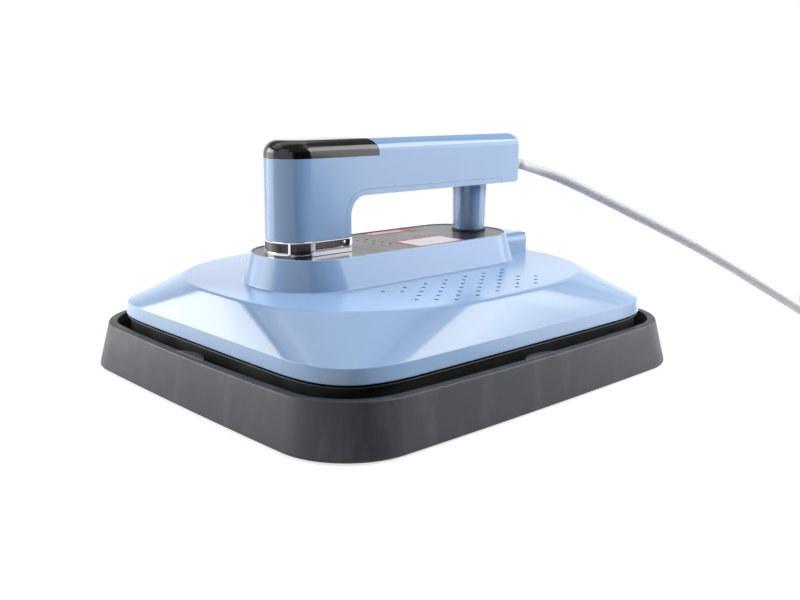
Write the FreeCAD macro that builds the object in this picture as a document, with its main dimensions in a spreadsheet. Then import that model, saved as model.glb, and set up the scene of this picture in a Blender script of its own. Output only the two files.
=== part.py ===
import FreeCAD, Part

import math
import os
import re

import Sketcher
from FreeCAD import Placement, Rotation, Vector

# Mini handheld heat press. X runs along the handle from its control end (-X) to the cord end (+X),
# Z is up, and the origin is on the floor under the middle of the base tray. Millimetres.

DIMENSIONS = {
    # Heating plate, and what lies on it
    "plate_length": 305.0,
    "plate_width": 254.0,
    "plate_corner": 42.0,
    "plate_thickness": 10.0,
    "coating_thickness": 0.4,
    "element_radius": 3.2,
    "element_inset": 40.5,
    "element_margin": 46.0,
    "groove_clearance": 0.2,
    "insulation_inset_x": 13.5,
    "insulation_inset_y": 10.5,
    "insulation_corner": 28.0,
    "insulation_thickness": 7.6,
    "insulation_air": 0.6,
    "shield_inset_x": 10.0,
    "shield_inset_y": 10.75,
    "shield_corner": 36.0,
    "shield_thickness": 1.0,
    "standoff_radius": 4.0,
    "standoff_inset_x": 24.5,
    "standoff_inset_y": 35.0,
    "plate_screw_radius": 2.0,
    "plate_screw_reach": 5.0,
    "screw_head_height": 2.4,
    "screw_head_radius": 3.6,
    # Base tray: its floor outline outside the cover's, its rim, and how far each side bows outward
    "tray_margin_x": 14.1,
    "tray_margin_y": 14.85,
    "tray_corner": 47.7,
    "tray_bow": 2.5,
    "tray_rim_drop": 5.1,
    "tray_draft": 7.7,
    "rim_corner": 43.8,
    "rim_bow": 6.1,
    "rim_width": 5.8,
    "tray_floor": 3.0,
    "tray_inner_draft": 2.5,
    "tab_radius": 23.0,
    "tab_reach": 4.5,
    "tab_thickness": 2.4,
    "tab_drop": 0.8,
    # Feet, mat and rest pads of the tray
    "foot_radius": 9.0,
    "foot_stand": 1.0,
    "foot_seat": 0.8,
    "foot_inset": 34.0,
    "mat_inset_x": 21.5,
    "mat_inset_y": 21.0,
    "mat_corner": 22.0,
    "mat_thickness": 3.0,
    "pad_radius": 8.0,
    "pad_height": 8.0,
    "pad_inset": 17.0,
    # Black heat skirt under the cover
    "skirt_height": 24.0,
    "skirt_wall": 2.2,
    "skirt_fit": 0.3,
    "skirt_flange": 12.0,
    "skirt_flange_thickness": 2.0,
    "flange_drop": 6.5,
    "skirt_lip_reach": 1.4,
    "skirt_lip_height": 1.3,
    "skirt_entry": 1.2,
    # Top cover: vertical band, sloping shoulder and flat deck
    "cover_overhang_x": 5.5,
    "cover_overhang_y": 10.25,
    "cover_corner": 47.5,
    "band_height": 9.2,
    "band_draft": 1.3,
    "shoulder_height": 21.8,
    "deck_inset_x": 14.5,
    "deck_inset_y": 15.25,
    "deck_corner": 106.0,
    "cover_wall": 2.5,
    "shoulder_post_radius": 3.5,
    "shoulder_post_sink": 13.65,
    "shoulder_post_inset_x": 12.0,
    "shoulder_post_inset_y": 11.75,
    "shoulder_post_x_offset": 50.0,
    "shoulder_post_y_offset": 70.0,
    "cover_screw_radius": 1.5,
    "cover_screw_head_radius": 2.8,
    "cover_screw_length": 13.0,
    "cover_bore_depth": 14.0,
    # Raised island along the middle of the deck
    "island_height": 20.7,
    "island_top_length": 219.4,
    "island_top_width": 78.0,
    "island_top_corner": 34.5,
    "island_flare_x": 4.8,
    "island_flare_y": 7.4,
    "island_foot_corner": 42.0,
    "panel_rim": 1.5,
    "panel_thickness": 2.0,
    "panel_sink": 0.5,
    "panel_fit": 0.2,
    "panel_hole_radius": 1.2,
    "panel_hole_x": -17.0,
    "panel_hole_pitch": 8.8,
    # Vent holes in the deck
    "vent_radius": 1.6,
    "vent_pitch_x": 19.6,
    "vent_pitch_y": 7.9,
    "vent_margin": 13.6,
    # Switch housing at the rear of the island
    "boss_setback": 7.5,
    "boss_length": 40.0,
    "boss_half_width": 21.0,
    "boss_height": 16.1,
    "boss_round": 6.5,
    "bezel_width": 35.6,
    "bezel_height": 14.4,
    "bezel_thickness": 1.5,
    "switch_rise": 8.0,
    "switch_depth": 20.0,
    "switch_wall": 1.1,
    "switch_fit": 0.3,
    "pivot_depth": 0.5,
    "rocker_width": 29.6,
    "rocker_half_height": 4.7,
    "rocker_nose": 7.5,
    "rocker_back": 2.2,
    "rocker_shoulder": 2.0,
    "rocker_throw": 12.0,
    "rocker_gap": 0.6,
    "spade_length": 8.0,
    "spade_width": 6.3,
    "spade_thickness": 0.8,
    "spade_pitch": 10.0,
    # Handle: a front post with a half-round nose, and the grip
    "handle_width": 39.4,
    "handle_front_inset": 6.2,
    "handle_rear_reach": 16.0,
    "grip_clearance": 37.1,
    "grip_height": 38.1,
    "post_length": 53.3,
    "arch_radius": 13.0,
    "handle_top_round": 9.5,
    "handle_end_round": 4.0,
    "handle_wall": 3.0,
    "cavity_inset": 5.2,
    "cavity_roof": 7.0,
    "liner_thickness": 4.0,
    "liner_setback": 22.7,
    "cap_height": 11.6,
    "cap_length": 78.5,
    "cap_wall": 2.5,
    "cap_nose_wall": 12.0,
    "collar_height": 10.3,
    "collar_wall": 2.0,
    "collar_proud": 0.3,
    # Rear post, and the pillar inside the front post
    "rear_post_setback": 37.7,
    "rear_post_foot_radius": 12.7,
    "rear_post_head_radius": 13.4,
    "rear_post_bore": 4.4,
    "gasket_proud": 0.7,
    "gasket_thickness": 1.3,
    "pillar_fit": 0.3,
    "pillar_front_gap": 0.7,
    "pillar_rear_gap": 7.8,
    "pillar_flat": 0.2,
    "pillar_wire_radius": 5.0,
    "pillar_drop": 4.0,
    "handle_screw_radius": 1.6,
    "handle_screw_head_radius": 3.2,
    "handle_screw_spread": 8.6,
    "handle_screw_reach": 32.0,
    "pillar_screw_inset": 7.6,
    "screw_clearance": 0.15,
    # Control end
    "board_thickness": 1.6,
    "display_board_length": 66.0,
    "display_board_fit": 1.0,
    "display_board_flat": 0.5,
    "display_length": 32.0,
    "display_width": 18.0,
    "display_height": 8.0,
    # Main board and what it carries
    "board_length": 150.0,
    "board_width": 72.0,
    "board_corner": 4.0,
    "board_x": 10.0,
    "board_rise": 11.0,
    "board_post_radius": 3.0,
    "board_post_inset": 6.0,
    "relay_length": 20.0,
    "relay_width": 16.0,
    "relay_height": 19.0,
    "transformer_length": 28.0,
    "transformer_width": 24.0,
    "transformer_height": 22.0,
    "capacitor_radius": 6.5,
    "capacitor_height": 20.0,
    "buzzer_radius": 7.0,
    "buzzer_height": 9.0,
    "terminal_length": 16.0,
    "terminal_width": 34.0,
    "terminal_height": 12.0,
    "fuse_radius": 3.0,
    "fuse_length": 20.0,
    "fuse_block": 5.0,
    "fuse_end": 2.0,
    "fuse_seat": 1.0,
    "sensor_length": 14.0,
    "sensor_width": 10.0,
    "sensor_height": 3.0,
    "cutout_radius": 6.0,
    "cutout_x": 40.0,
    "lead_radius": 3.4,
    "lead_bend": 14.0,
    "lead_depth": 20.9,
    "heater_lead_radius": 1.4,
    "heater_lead_setback": 4.0,
    "heater_lead_gap": 1.2,
    "cable_width": 7.0,
    "cable_thickness": 1.2,
    "cable_tail": 9.2,
    "clamp_length": 10.0,
    "clamp_width": 22.0,
    "clamp_height": 5.0,
    # Cord, strain relief and plug
    "cord_radius": 4.1,
    "cord_lay": 4.15,
    "relief_length": 26.0,
    "relief_radius": 6.6,
    "relief_tip_radius": 4.9,
    "relief_fit": 0.3,
    "coil_radius": 57.0,
    "coil_pitch": 8.8,
    "coil_turns": 5,
    "coil_layer": 8.8,
    "coil_tail": 30.0,
    "plug_length": 34.0,
    "plug_width": 25.0,
    "plug_sleeve_length": 16.0,
    "plug_sleeve_start": 0.8,
    "plug_sleeve_end": 3.0,
    "plug_round": 4.0,
    "blade_length": 17.0,
    "blade_width": 6.3,
    "blade_thickness": 1.5,
    "blade_pitch": 12.7,
    "blade_offset": 2.0,
    "ground_pin_radius": 2.4,
    "ground_pin_length": 20.0,
    "ground_pin_drop": 8.0,
}

# Sizes and places that follow from the ones above, because the pieces fit each other
FITTED = {
    "element_half_length": "plate_length / 2 - element_inset",
    "element_bend": "(plate_width / 2 - element_margin) / 3",
    "heater_lead_x": "element_half_length - heater_lead_setback",
    "insulation_length": "plate_length - 2 * insulation_inset_x",
    "insulation_width": "plate_width - 2 * insulation_inset_y",
    "standoff_x": "plate_length / 2 - standoff_inset_x",
    "standoff_y": "plate_width / 2 - standoff_inset_y",
    "mat_length": "plate_length - 2 * mat_inset_x",
    "mat_width": "plate_width - 2 * mat_inset_y",
    "cover_length": "plate_length + 2 * cover_overhang_x",
    "cover_width": "plate_width + 2 * cover_overhang_y",
    "shield_length": "cover_length - 2 * shield_inset_x",
    "shield_width": "cover_width - 2 * shield_inset_y",
    "tray_length": "cover_length + 2 * tray_margin_x",
    "tray_width": "cover_width + 2 * tray_margin_y",
    "deck_length": "cover_length - 2 * deck_inset_x",
    "deck_width": "cover_width - 2 * deck_inset_y",
    "shoulder_post_x": "cover_length / 2 - shoulder_post_inset_x",
    "shoulder_post_y": "cover_width / 2 - shoulder_post_inset_y",
    "island_foot_length": "island_top_length + 2 * island_flare_x",
    "island_foot_width": "island_top_width + 2 * island_flare_y",
    "panel_length": "island_top_length - 2 * panel_rim",
    "panel_width": "island_top_width - 2 * panel_rim",
    "panel_corner": "island_top_corner - panel_rim",
    "plate_foot": "foot_stand + tray_floor + pad_height",
    "plate_top": "plate_foot + coating_thickness + plate_thickness",
    "insulation_foot": "plate_top + element_radius + groove_clearance",
    "shield_foot": "insulation_foot + insulation_thickness + insulation_air",
    "shield_top": "shield_foot + shield_thickness",
    "flange_foot": "shield_foot - skirt_flange_thickness",
    "cover_bottom": "flange_foot + flange_drop",
    "tray_height": "cover_bottom - tray_rim_drop",
    "band_top": "cover_bottom + band_height",
    "deck_height": "band_top + shoulder_height",
    "shoulder_post_height": "deck_height - shoulder_post_sink - shield_top",
    "island_top_height": "deck_height + island_height",
    "panel_top": "island_top_height - panel_sink",
    "ledge": "panel_top - panel_thickness",
    "board_height": "shield_top + board_rise",
    "boss_end": "deck_length / 2 - boss_setback",
    "boss_start": "boss_end - boss_length",
    "boss_top": "deck_height + boss_height",
    "switch_axis_height": "deck_height + switch_rise",
    "pivot_x": "boss_end - pivot_depth",
    "case_width": "rocker_width + 2 * rocker_gap + 2 * switch_wall",
    "case_height": "2 * rocker_half_height + 2 * rocker_gap + 2 * switch_wall",
    "handle_nose": "handle_front_inset - island_top_length / 2",
    "handle_end": "island_top_length / 2 + handle_rear_reach",
    "grip_underside": "island_top_height + grip_clearance",
    "handle_top": "grip_underside + grip_height",
    "post_rear": "handle_nose + post_length",
    "cavity_half_width": "handle_width / 2 - cavity_inset",
    "cavity_end": "handle_end - cavity_inset",
    "cavity_top": "handle_top - cavity_roof",
    "liner_end": "handle_end - liner_setback",
    "cap_bottom": "handle_top - cap_height",
    "cap_end": "handle_nose + cap_length",
    "cap_room_start": "handle_nose + cap_nose_wall",
    "collar_top": "panel_top + collar_height",
    "rear_post_x": "handle_end - rear_post_setback",
    "gasket_radius": "rear_post_foot_radius + gasket_proud",
    "pillar_start": "handle_nose + cavity_inset + pillar_front_gap",
    "pillar_end": "post_rear - pillar_rear_gap",
    "pillar_half_width": "cavity_half_width - pillar_fit",
    "pillar_screw_front": "pillar_start + pillar_screw_inset",
    "pillar_screw_rear": "pillar_end - pillar_screw_inset",
    "wire_x": "(pillar_screw_front + pillar_screw_rear) / 2",
    "pillar_corner": "pillar_half_width - pillar_flat",
    "display_board_width": "2 * cavity_half_width - 2 * display_board_fit",
    "display_board_corner": "display_board_width / 2 - display_board_flat",
    "lead_height": "handle_top - lead_depth",
}

# Route of the cord from its strain relief down to the floor, where the coil begins.
# Each point's x counts from the rear end of the handle.
CORD_ROUTE = [
    (18.3, 0.0, 139.8),
    (42.3, 0.0, 134.0),
    (62.3, -12.0, 126.0),
    (81.3, -33.0, 113.0),
    (104.3, -66.0, 94.0),
    (131.3, -98.0, 74.0),
    (158.3, -127.0, 52.0),
    (182.3, -155.0, 30.0),
    (203.3, -178.0, 12.0),
    (222.3, -199.0, DIMENSIONS["cord_lay"]),
    (240.3, -220.0, DIMENSIONS["cord_lay"]),
]
# Where the parts on the main board stand, from its middle
BOARD_PLACES = {
    "relay": (-8, 18),
    "transformer": (-6, -16),
    "capacitor": (-38, 14),
    "buzzer": (-42, -12),
    "terminal_block": (61, 0),
    "fuse": (26, 24),
}
# How many holes each row of deck vents has, from the island outward
VENT_ROWS = (7, 6, 5, 6, 7, 6, 5)
PLATE_SCREW_SIGNS = ((1, 1), (1, -1), (-1, 1), (-1, -1), (0, 1), (0, -1))
CORNERS = ((1, 1), (1, -1), (-1, 1), (-1, -1))

doc = FreeCAD.newDocument("heat_press")
sheet = doc.addObject("Spreadsheet::Sheet", "Dims")
for row, (name, value) in enumerate(DIMENSIONS.items(), start=1):
    sheet.set("A%d" % row, name)
    sheet.set("B%d" % row, str(value))
    sheet.setAlias("B%d" % row, name)
doc.recompute()
sums = doc.addObject("App::FeaturePython", "Sums")

subparts = []


def size(text):
    """The number that a formula of sheet names gives."""
    return float(sums.evalExpression(formula(text)))


def formula(text):
    """The same formula with each fitted size worked out and each other name pointing at its cell."""

    def cell(word):
        name = word.group()
        return "(%s)" % formula(FITTED[name]) if name in FITTED else "Dims." + name

    return re.sub(r"[a-z][a-z_]+", cell, text)


def bind(thing, **formulas):
    for prop, text in formulas.items():
        thing.setExpression(prop, formula(text))


def place(thing, x="0", y="0", z="0"):
    for axis, text in zip("xyz", (x, y, z)):
        thing.setExpression("Placement.Base." + axis, formula(text))


def subpart(node, thing):
    """Names a finished object as the sub-part that is written to its own file."""
    thing.Label = node
    subparts.append((node, thing))
    return thing


def block(name, length, width, height, x="0", y="0", z="0"):
    """A box centred on x and y that stands on z."""
    thing = doc.addObject("Part::Box", name)
    bind(thing, Length=length, Width=width, Height=height)
    place(thing, "(%s) - (%s) / 2" % (x, length), "(%s) - (%s) / 2" % (y, width), z)
    return thing


def rod(name, radius, height, x="0", y="0", z="0", rotation=None):
    """A round bar that starts at x, y, z and stands along Z, or along the turned Z."""
    thing = doc.addObject("Part::Cylinder", name)
    bind(thing, Radius=radius, Height=height)
    if rotation:
        thing.Placement = Placement(Vector(), rotation)
    place(thing, x, y, z)
    return thing


def taper(name, foot, head, height, x="0", y="0", z="0", rotation=None):
    thing = doc.addObject("Part::Cone", name)
    bind(thing, Radius1=foot, Radius2=head, Height=height)
    if rotation:
        thing.Placement = Placement(Vector(), rotation)
    place(thing, x, y, z)
    return thing


def fuse(name, *things):
    result = doc.addObject("Part::MultiFuse", name)
    result.Shapes = list(things)
    return result


def gather(name, *things):
    """Separate solids that share one node."""
    result = doc.addObject("Part::Compound", name)
    result.Links = list(things)
    return result


def cut(name, base, *tools):
    result = doc.addObject("Part::Cut", name)
    result.Base = base
    result.Tool = tools[0] if len(tools) == 1 else fuse(name + "_tools", *tools)
    return result


def common(name, first, second):
    result = doc.addObject("Part::Common", name)
    result.Base = first
    result.Tool = second
    return result


def outline(owner, name, length, width, corner, z="0", x="0"):
    """A sketch of a rounded rectangle, in a body or standing alone, with its sides bound to the sheet."""
    if owner:
        sketch = owner.newObject("Sketcher::SketchObject", name)
        plane = next(f for f in owner.Origin.OriginFeatures if f.Role == "XY_Plane")
        sketch.AttachmentSupport = (plane, [""])
        sketch.MapMode = "FlatFace"
        sketch.setExpression("AttachmentOffset.Base.z", formula(z))
    else:
        sketch = doc.addObject("Sketcher::SketchObject", name)
        place(sketch, "0", "0", z)
    middle, half_x, half_y, radius = size(x), size(length) / 2, size(width) / 2, size(corner)
    low_x, high_x = middle - half_x, middle + half_x

    def line(x0, y0, x1, y1):
        return sketch.addGeometry(Part.LineSegment(Vector(x0, y0, 0), Vector(x1, y1, 0)))

    def arc(cx, cy, quarter):
        circle = Part.Circle(Vector(cx, cy, 0), Vector(0, 0, 1), radius)
        start = quarter * math.pi / 2
        return sketch.addGeometry(Part.ArcOfCircle(circle, start, start + math.pi / 2))

    bottom = line(low_x + radius, -half_y, high_x - radius, -half_y)
    turn_1 = arc(high_x - radius, -half_y + radius, 3)
    right = line(high_x, -half_y + radius, high_x, half_y - radius)
    turn_2 = arc(high_x - radius, half_y - radius, 0)
    top = line(high_x - radius, half_y, low_x + radius, half_y)
    turn_3 = arc(low_x + radius, half_y - radius, 1)
    left = line(low_x, half_y - radius, low_x, -half_y + radius)
    turn_4 = arc(low_x + radius, -half_y + radius, 2)
    loop = (bottom, turn_1, right, turn_2, top, turn_3, left, turn_4)
    for this, following in zip(loop, loop[1:] + loop[:1]):
        sketch.addConstraint(Sketcher.Constraint("Tangent", this, 2, following, 1))
    sketch.addConstraint([Sketcher.Constraint("Horizontal", side) for side in (bottom, top)])
    sketch.addConstraint([Sketcher.Constraint("Vertical", side) for side in (right, left)])
    sketch.addConstraint([Sketcher.Constraint("Equal", turn_1, turn) for turn in (turn_2, turn_3, turn_4)])
    drives = {
        sketch.addConstraint(Sketcher.Constraint("Radius", turn_1, radius)): corner,
        sketch.addConstraint(Sketcher.Constraint("DistanceX", left, 1, right, 1, 2 * half_x)): length,
        sketch.addConstraint(Sketcher.Constraint("DistanceY", bottom, 1, top, 1, 2 * half_y)): width,
        sketch.addConstraint(Sketcher.Constraint("DistanceY", bottom, 1, -1, 1, half_y)):
            "(%s) / 2" % width,
        sketch.addConstraint(Sketcher.Constraint("DistanceX", -1, 1, right, 1, high_x)):
            "(%s) + (%s) / 2" % (x, length),
    }
    for index, text in drives.items():
        sketch.setExpression("Constraints[%d]" % index, formula(text))
    return sketch


def slab(name, length, width, corner, thickness, z, x="0"):
    """A rounded plate: a padded sketch whose underside is at z."""
    body = doc.addObject("PartDesign::Body", name)
    sketch = outline(body, name + "_outline", length, width, corner, z, x)
    pad = body.newObject("PartDesign::Pad", name + "_pad")
    pad.Profile = sketch
    pad.setExpression("Length", formula(thickness))
    return body


def loft(name, *sections):
    result = doc.addObject("Part::Loft", name)
    result.Sections = list(sections)
    result.Solid = True
    result.Ruled = True
    return result


def own(name, shape):
    """A sub-part or tool whose shape is worked out here from the sheet's sizes."""
    feature = doc.addObject("Part::Feature", name)
    feature.Shape = shape
    feature.Placement = shape.Placement
    return feature


# Base tray


def bowed_wire(half_x, half_y, corner, bow, z):
    """A closed outline of four slightly bowed sides joined by tangent corner arcs."""

    def side_circle(half_chord, offset):
        radius = (half_chord ** 2 + bow ** 2) / (2 * bow)
        return radius, offset + bow - radius

    long_radius, long_centre = side_circle(half_x - corner, half_y)
    short_radius, short_centre = side_circle(half_y - corner, half_x)
    # The corner's centre lies on circles round the centres of the two sides beside it
    from_long, from_short = long_radius - corner, short_radius - corner
    span = math.hypot(short_centre, long_centre)
    along = (from_long ** 2 - from_short ** 2 + span ** 2) / (2 * span)
    away = math.sqrt(from_long ** 2 - along ** 2)
    unit = Vector(short_centre, -long_centre, 0) / span
    choices = [Vector(0, long_centre, 0) + unit * along + Vector(-unit.y, unit.x, 0) * (sign * away)
               for sign in (1, -1)]
    centre = max(choices, key=lambda point: point.x + point.y)
    to_long = (centre - Vector(0, long_centre, 0)).normalize()
    to_short = (centre - Vector(short_centre, 0, 0)).normalize()
    on_long, on_short = centre + to_long * corner, centre + to_short * corner
    middle = centre + (to_long + to_short).normalize() * corner

    def at(point, sign_x, sign_y):
        return Vector(point.x * sign_x, point.y * sign_y, z)

    edges = []
    for sign_x, sign_y in ((1, 1), (-1, 1), (-1, -1), (1, -1)):
        turn = [at(on_short, sign_x, sign_y), at(middle, sign_x, sign_y), at(on_long, sign_x, sign_y)]
        if sign_x == sign_y:
            side = [turn[2], Vector(0, sign_y * (half_y + bow), z), at(on_long, -sign_x, sign_y)]
        else:
            turn.reverse()
            side = [turn[2], Vector(sign_x * (half_x + bow), 0, z), at(on_short, sign_x, -sign_y)]
        edges.append(Part.Arc(*turn).toShape())
        edges.append(Part.Arc(*side).toShape())
    return Part.Wire(edges)


def make_tray():
    half_x, half_y = size("tray_length / 2"), size("tray_width / 2")
    corner, bow = size("tray_corner"), size("tray_bow")
    rim_x, rim_y = half_x - size("tray_draft"), half_y - size("tray_draft")
    rim_corner, rim_bow = size("rim_corner"), size("rim_bow")
    rim, rim_z, base_z = size("rim_width"), size("tray_height"), size("foot_stand")
    floor_z, inner = base_z + size("tray_floor"), size("tray_inner_draft")
    outside = Part.makeLoft([bowed_wire(half_x, half_y, corner, bow, base_z),
                             bowed_wire(rim_x, rim_y, rim_corner, rim_bow, rim_z)], True, True)
    inside = Part.makeLoft([
        bowed_wire(rim_x - rim - inner, rim_y - rim - inner, rim_corner - rim, rim_bow, floor_z),
        bowed_wire(rim_x - rim, rim_y - rim, rim_corner - rim, rim_bow, rim_z)], True, True)
    tray = outside.cut(inside)
    tab_radius, reach = size("tab_radius"), size("tab_reach")
    thickness = size("tab_thickness")
    tab_z = rim_z - size("tab_drop") - thickness
    tabs = []
    for x, y in ((1, 0), (-1, 0), (0, 1), (0, -1)):
        wall = (rim_x if x else rim_y) + rim_bow - rim
        away = wall + tab_radius - reach
        disc = Part.makeCylinder(tab_radius, thickness, Vector(x * away, y * away, tab_z))
        tabs.append(disc.common(inside))
    tray = tray.fuse(tabs).removeSplitter()
    feet = [Part.makeCylinder(size("foot_radius + screw_clearance"), size("foot_seat"),
                              Vector(x * foot_x(), y * foot_y(), base_z)) for x, y in CORNERS]
    return subpart("base_tray", own("base_tray", tray.cut(feet)))


def foot_x():
    return size("tray_length / 2 - foot_inset")


def foot_y():
    return size("tray_width / 2 - foot_inset")


def make_tray_fittings():
    feet = [rod("foot", "foot_radius", "foot_stand + foot_seat",
                "%d * (tray_length / 2 - foot_inset)" % x, "%d * (tray_width / 2 - foot_inset)" % y)
            for x, y in CORNERS]
    subpart("base_feet", gather("base_feet", *feet))
    subpart("tray_mat", slab("tray_mat", "mat_length", "mat_width", "mat_corner", "mat_thickness",
                             "foot_stand + tray_floor"))
    pads = [rod("rest_pad", "pad_radius", "pad_height",
                "%d * (plate_length / 2 - pad_inset)" % x, "%d * (plate_width / 2 - pad_inset)" % y,
                "foot_stand + tray_floor") for x, y in CORNERS]
    subpart("rest_pads", gather("rest_pads", *pads))


# Heating plate stack

def element_wire():
    """The heater's route: two long hairpins side by side, ends together at the rear."""
    half, bend, z = size("element_half_length"), size("element_bend"), size("plate_top")
    edges = []
    lanes = [-3 * bend, -bend, bend, 3 * bend]
    for index, y in enumerate(lanes):
        sign = 1 if index % 2 == 0 else -1
        edges.append(Part.LineSegment(Vector(sign * half, y, z), Vector(-sign * half, y, z)).toShape())
        if index < len(lanes) - 1:
            end = Vector(-sign * half, y, z)
            tip = Vector(-sign * (half + bend), y + bend, z)
            edges.append(Part.Arc(end, tip, Vector(-sign * half, y + 2 * bend, z)).toShape())
    return Part.Wire(edges)


def swept(wire, radius):
    """A round bar along a wire of tangent lines and arcs."""
    first = wire.Edges[0]
    start = first.valueAt(first.FirstParameter)
    along = first.tangentAt(first.FirstParameter)
    section = Part.Wire(Part.Circle(start, along, radius).toShape())
    return wire.makePipeShell([section], True, False)


def plate_screws(name, radius, start, reach):
    return [rod(name, radius, reach, "%d * standoff_x" % x, "%d * standoff_y" % y, start)
            for x, y in PLATE_SCREW_SIGNS]


def make_plate():
    subpart("plate_coating", slab("plate_coating", "plate_length", "plate_width", "plate_corner",
                                  "coating_thickness", "plate_foot"))
    blank = slab("plate_blank", "plate_length", "plate_width", "plate_corner", "plate_thickness",
                 "plate_foot + coating_thickness")
    route = element_wire()
    groove = own("element_groove", swept(route, size("element_radius + groove_clearance")))
    taps = plate_screws("plate_tap", "plate_screw_radius + screw_clearance",
                        "plate_top - plate_screw_reach", "plate_screw_reach")
    subpart("heating_plate", cut("heating_plate", blank, groove, *taps))
    subpart("heating_element", own("heating_element", swept(route, size("element_radius"))))


def make_insulation():
    foot = "plate_top + element_radius + groove_clearance"
    blank = slab("insulation_blank", "insulation_length", "insulation_width", "insulation_corner",
                 "insulation_thickness", foot)
    holes = plate_screws("standoff_hole", "standoff_radius + skirt_fit", foot, "insulation_thickness")
    heads = [rod("cover_screw_relief", "screw_head_radius + 2", "insulation_thickness", x, y, foot)
             for x, y in shoulder_posts()]
    leads = heater_lead_holes("insulation_lead_hole", foot, "insulation_thickness")
    subpart("insulation_pad", cut("insulation_pad", blank, *(holes + heads + leads)))


def heater_lead_holes(name, start, depth):
    return [rod(name, "heater_lead_radius + heater_lead_gap", depth, "heater_lead_x",
                "%d * 3 * element_bend" % side, start) for side in (-1, 1)]


def make_shield():
    blank = slab("shield_blank", "shield_length", "shield_width", "shield_corner",
                 "shield_thickness", "shield_foot")
    holes = plate_screws("shield_hole", "plate_screw_radius + screw_clearance", "shield_foot",
                         "shield_thickness")
    holes += [rod("shield_cover_hole", "cover_screw_radius + screw_clearance", "shield_thickness",
                  x, y, "shield_foot") for x, y in shoulder_posts()]
    holes += heater_lead_holes("shield_lead_hole", "shield_foot", "shield_thickness")
    subpart("heat_shield", cut("heat_shield", blank, *holes))


def make_standoffs():
    rise = "shield_foot - plate_top"
    sleeves = []
    for x, y in PLATE_SCREW_SIGNS:
        at = ("%d * standoff_x" % x, "%d * standoff_y" % y, "plate_top")
        sleeves.append(cut("standoff", rod("standoff_body", "standoff_radius", rise, *at),
                           rod("standoff_bore", "plate_screw_radius + screw_clearance", rise, *at)))
    subpart("standoffs", gather("standoffs", *sleeves))
    screws = []
    reach = "shield_top - plate_top + plate_screw_reach"
    for x, y in PLATE_SCREW_SIGNS:
        at = ("%d * standoff_x" % x, "%d * standoff_y" % y)
        shank = rod("plate_screw_shank", "plate_screw_radius", reach, *at,
                    "plate_top - plate_screw_reach")
        head = rod("plate_screw_head", "screw_head_radius", "screw_head_height", *at, "shield_top")
        screws.append(fuse("plate_screw", shank, head))
    subpart("plate_screws", gather("plate_screws", *screws))


# Skirt and top cover


def shoulder_posts():
    """Where screws go up through the skirt's flange into the cover: four at its ends, four at its sides."""
    ends = [("%d * shoulder_post_x" % x, "%d * shoulder_post_x_offset" % y) for x, y in CORNERS]
    sides = [("%d * shoulder_post_y_offset" % x, "%d * shoulder_post_y" % y) for x, y in CORNERS]
    return ends + sides


def shell_section(name, inset, z, sizes=("cover_length", "cover_width", "cover_corner")):
    length, width, corner = sizes
    return outline(None, name, "%s - 2 * (%s)" % (length, inset), "%s - 2 * (%s)" % (width, inset),
                   "%s - (%s)" % (corner, inset), z)


def make_skirt():
    wall_in = "cover_wall + skirt_fit"
    foot = "cover_bottom - skirt_height"
    top = "cover_bottom + skirt_entry"

    def ring(name, inset, z, rise):
        return slab(name, "cover_length - 2 * (%s)" % inset, "cover_width - 2 * (%s)" % inset,
                    "cover_corner - (%s)" % inset, rise, z)

    outside = ring("skirt_outside", wall_in, foot, "cover_bottom + skirt_entry - (%s)" % foot)
    lip = ring("skirt_lip", "cover_wall + skirt_fit - skirt_lip_reach",
               "cover_bottom - skirt_lip_height - skirt_fit", "skirt_lip_height")
    hollow_low = ring("skirt_hollow_low", wall_in + " + skirt_wall", foot,
                      "flange_foot - (%s)" % foot)
    hollow_mid = ring("skirt_hollow_mid", wall_in + " + skirt_wall + skirt_flange", foot,
                      "(%s) - (%s)" % (top, foot))
    hollow_top = ring("skirt_hollow_top", wall_in + " + skirt_wall", "shield_foot",
                      "%s - shield_foot" % top)
    holes = [rod("skirt_screw_hole", "cover_screw_radius + screw_clearance", "skirt_flange_thickness",
                 x, y, "flange_foot") for x, y in shoulder_posts()]
    subpart("heat_skirt", cut("heat_skirt", fuse("skirt_solid", outside, lip),
                              hollow_low, hollow_mid, hollow_top, *holes))


def cover_blank():
    deck = ("deck_length", "deck_width", "deck_corner")
    foot = ("island_foot_length", "island_foot_width", "island_foot_corner")
    head = ("island_top_length", "island_top_width", "island_top_corner")
    shell = loft("cover_shell", shell_section("band_foot", "0", "cover_bottom"),
                 shell_section("band_top", "band_draft", "band_top"),
                 shell_section("deck_edge", "0", "deck_height", deck))
    hollow = loft("cover_hollow", shell_section("hollow_foot", "cover_wall", "cover_bottom"),
                  shell_section("hollow_band", "band_draft + cover_wall", "band_top - cover_wall / 2"),
                  shell_section("hollow_deck", "1.2 * cover_wall", "deck_height - cover_wall", deck))
    island = loft("island_shell", shell_section("island_foot", "0", "deck_height - cover_wall / 2", foot),
                  shell_section("island_head", "0", "island_top_height", head))
    island_hollow = loft("island_hollow",
                         shell_section("island_hollow_foot", "cover_wall", "deck_height - 2 * cover_wall",
                                       foot),
                         shell_section("island_hollow_head", "cover_wall",
                                       "island_top_height - panel_sink - panel_thickness - cover_wall",
                                       head))
    return shell, hollow, island, island_hollow


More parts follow.
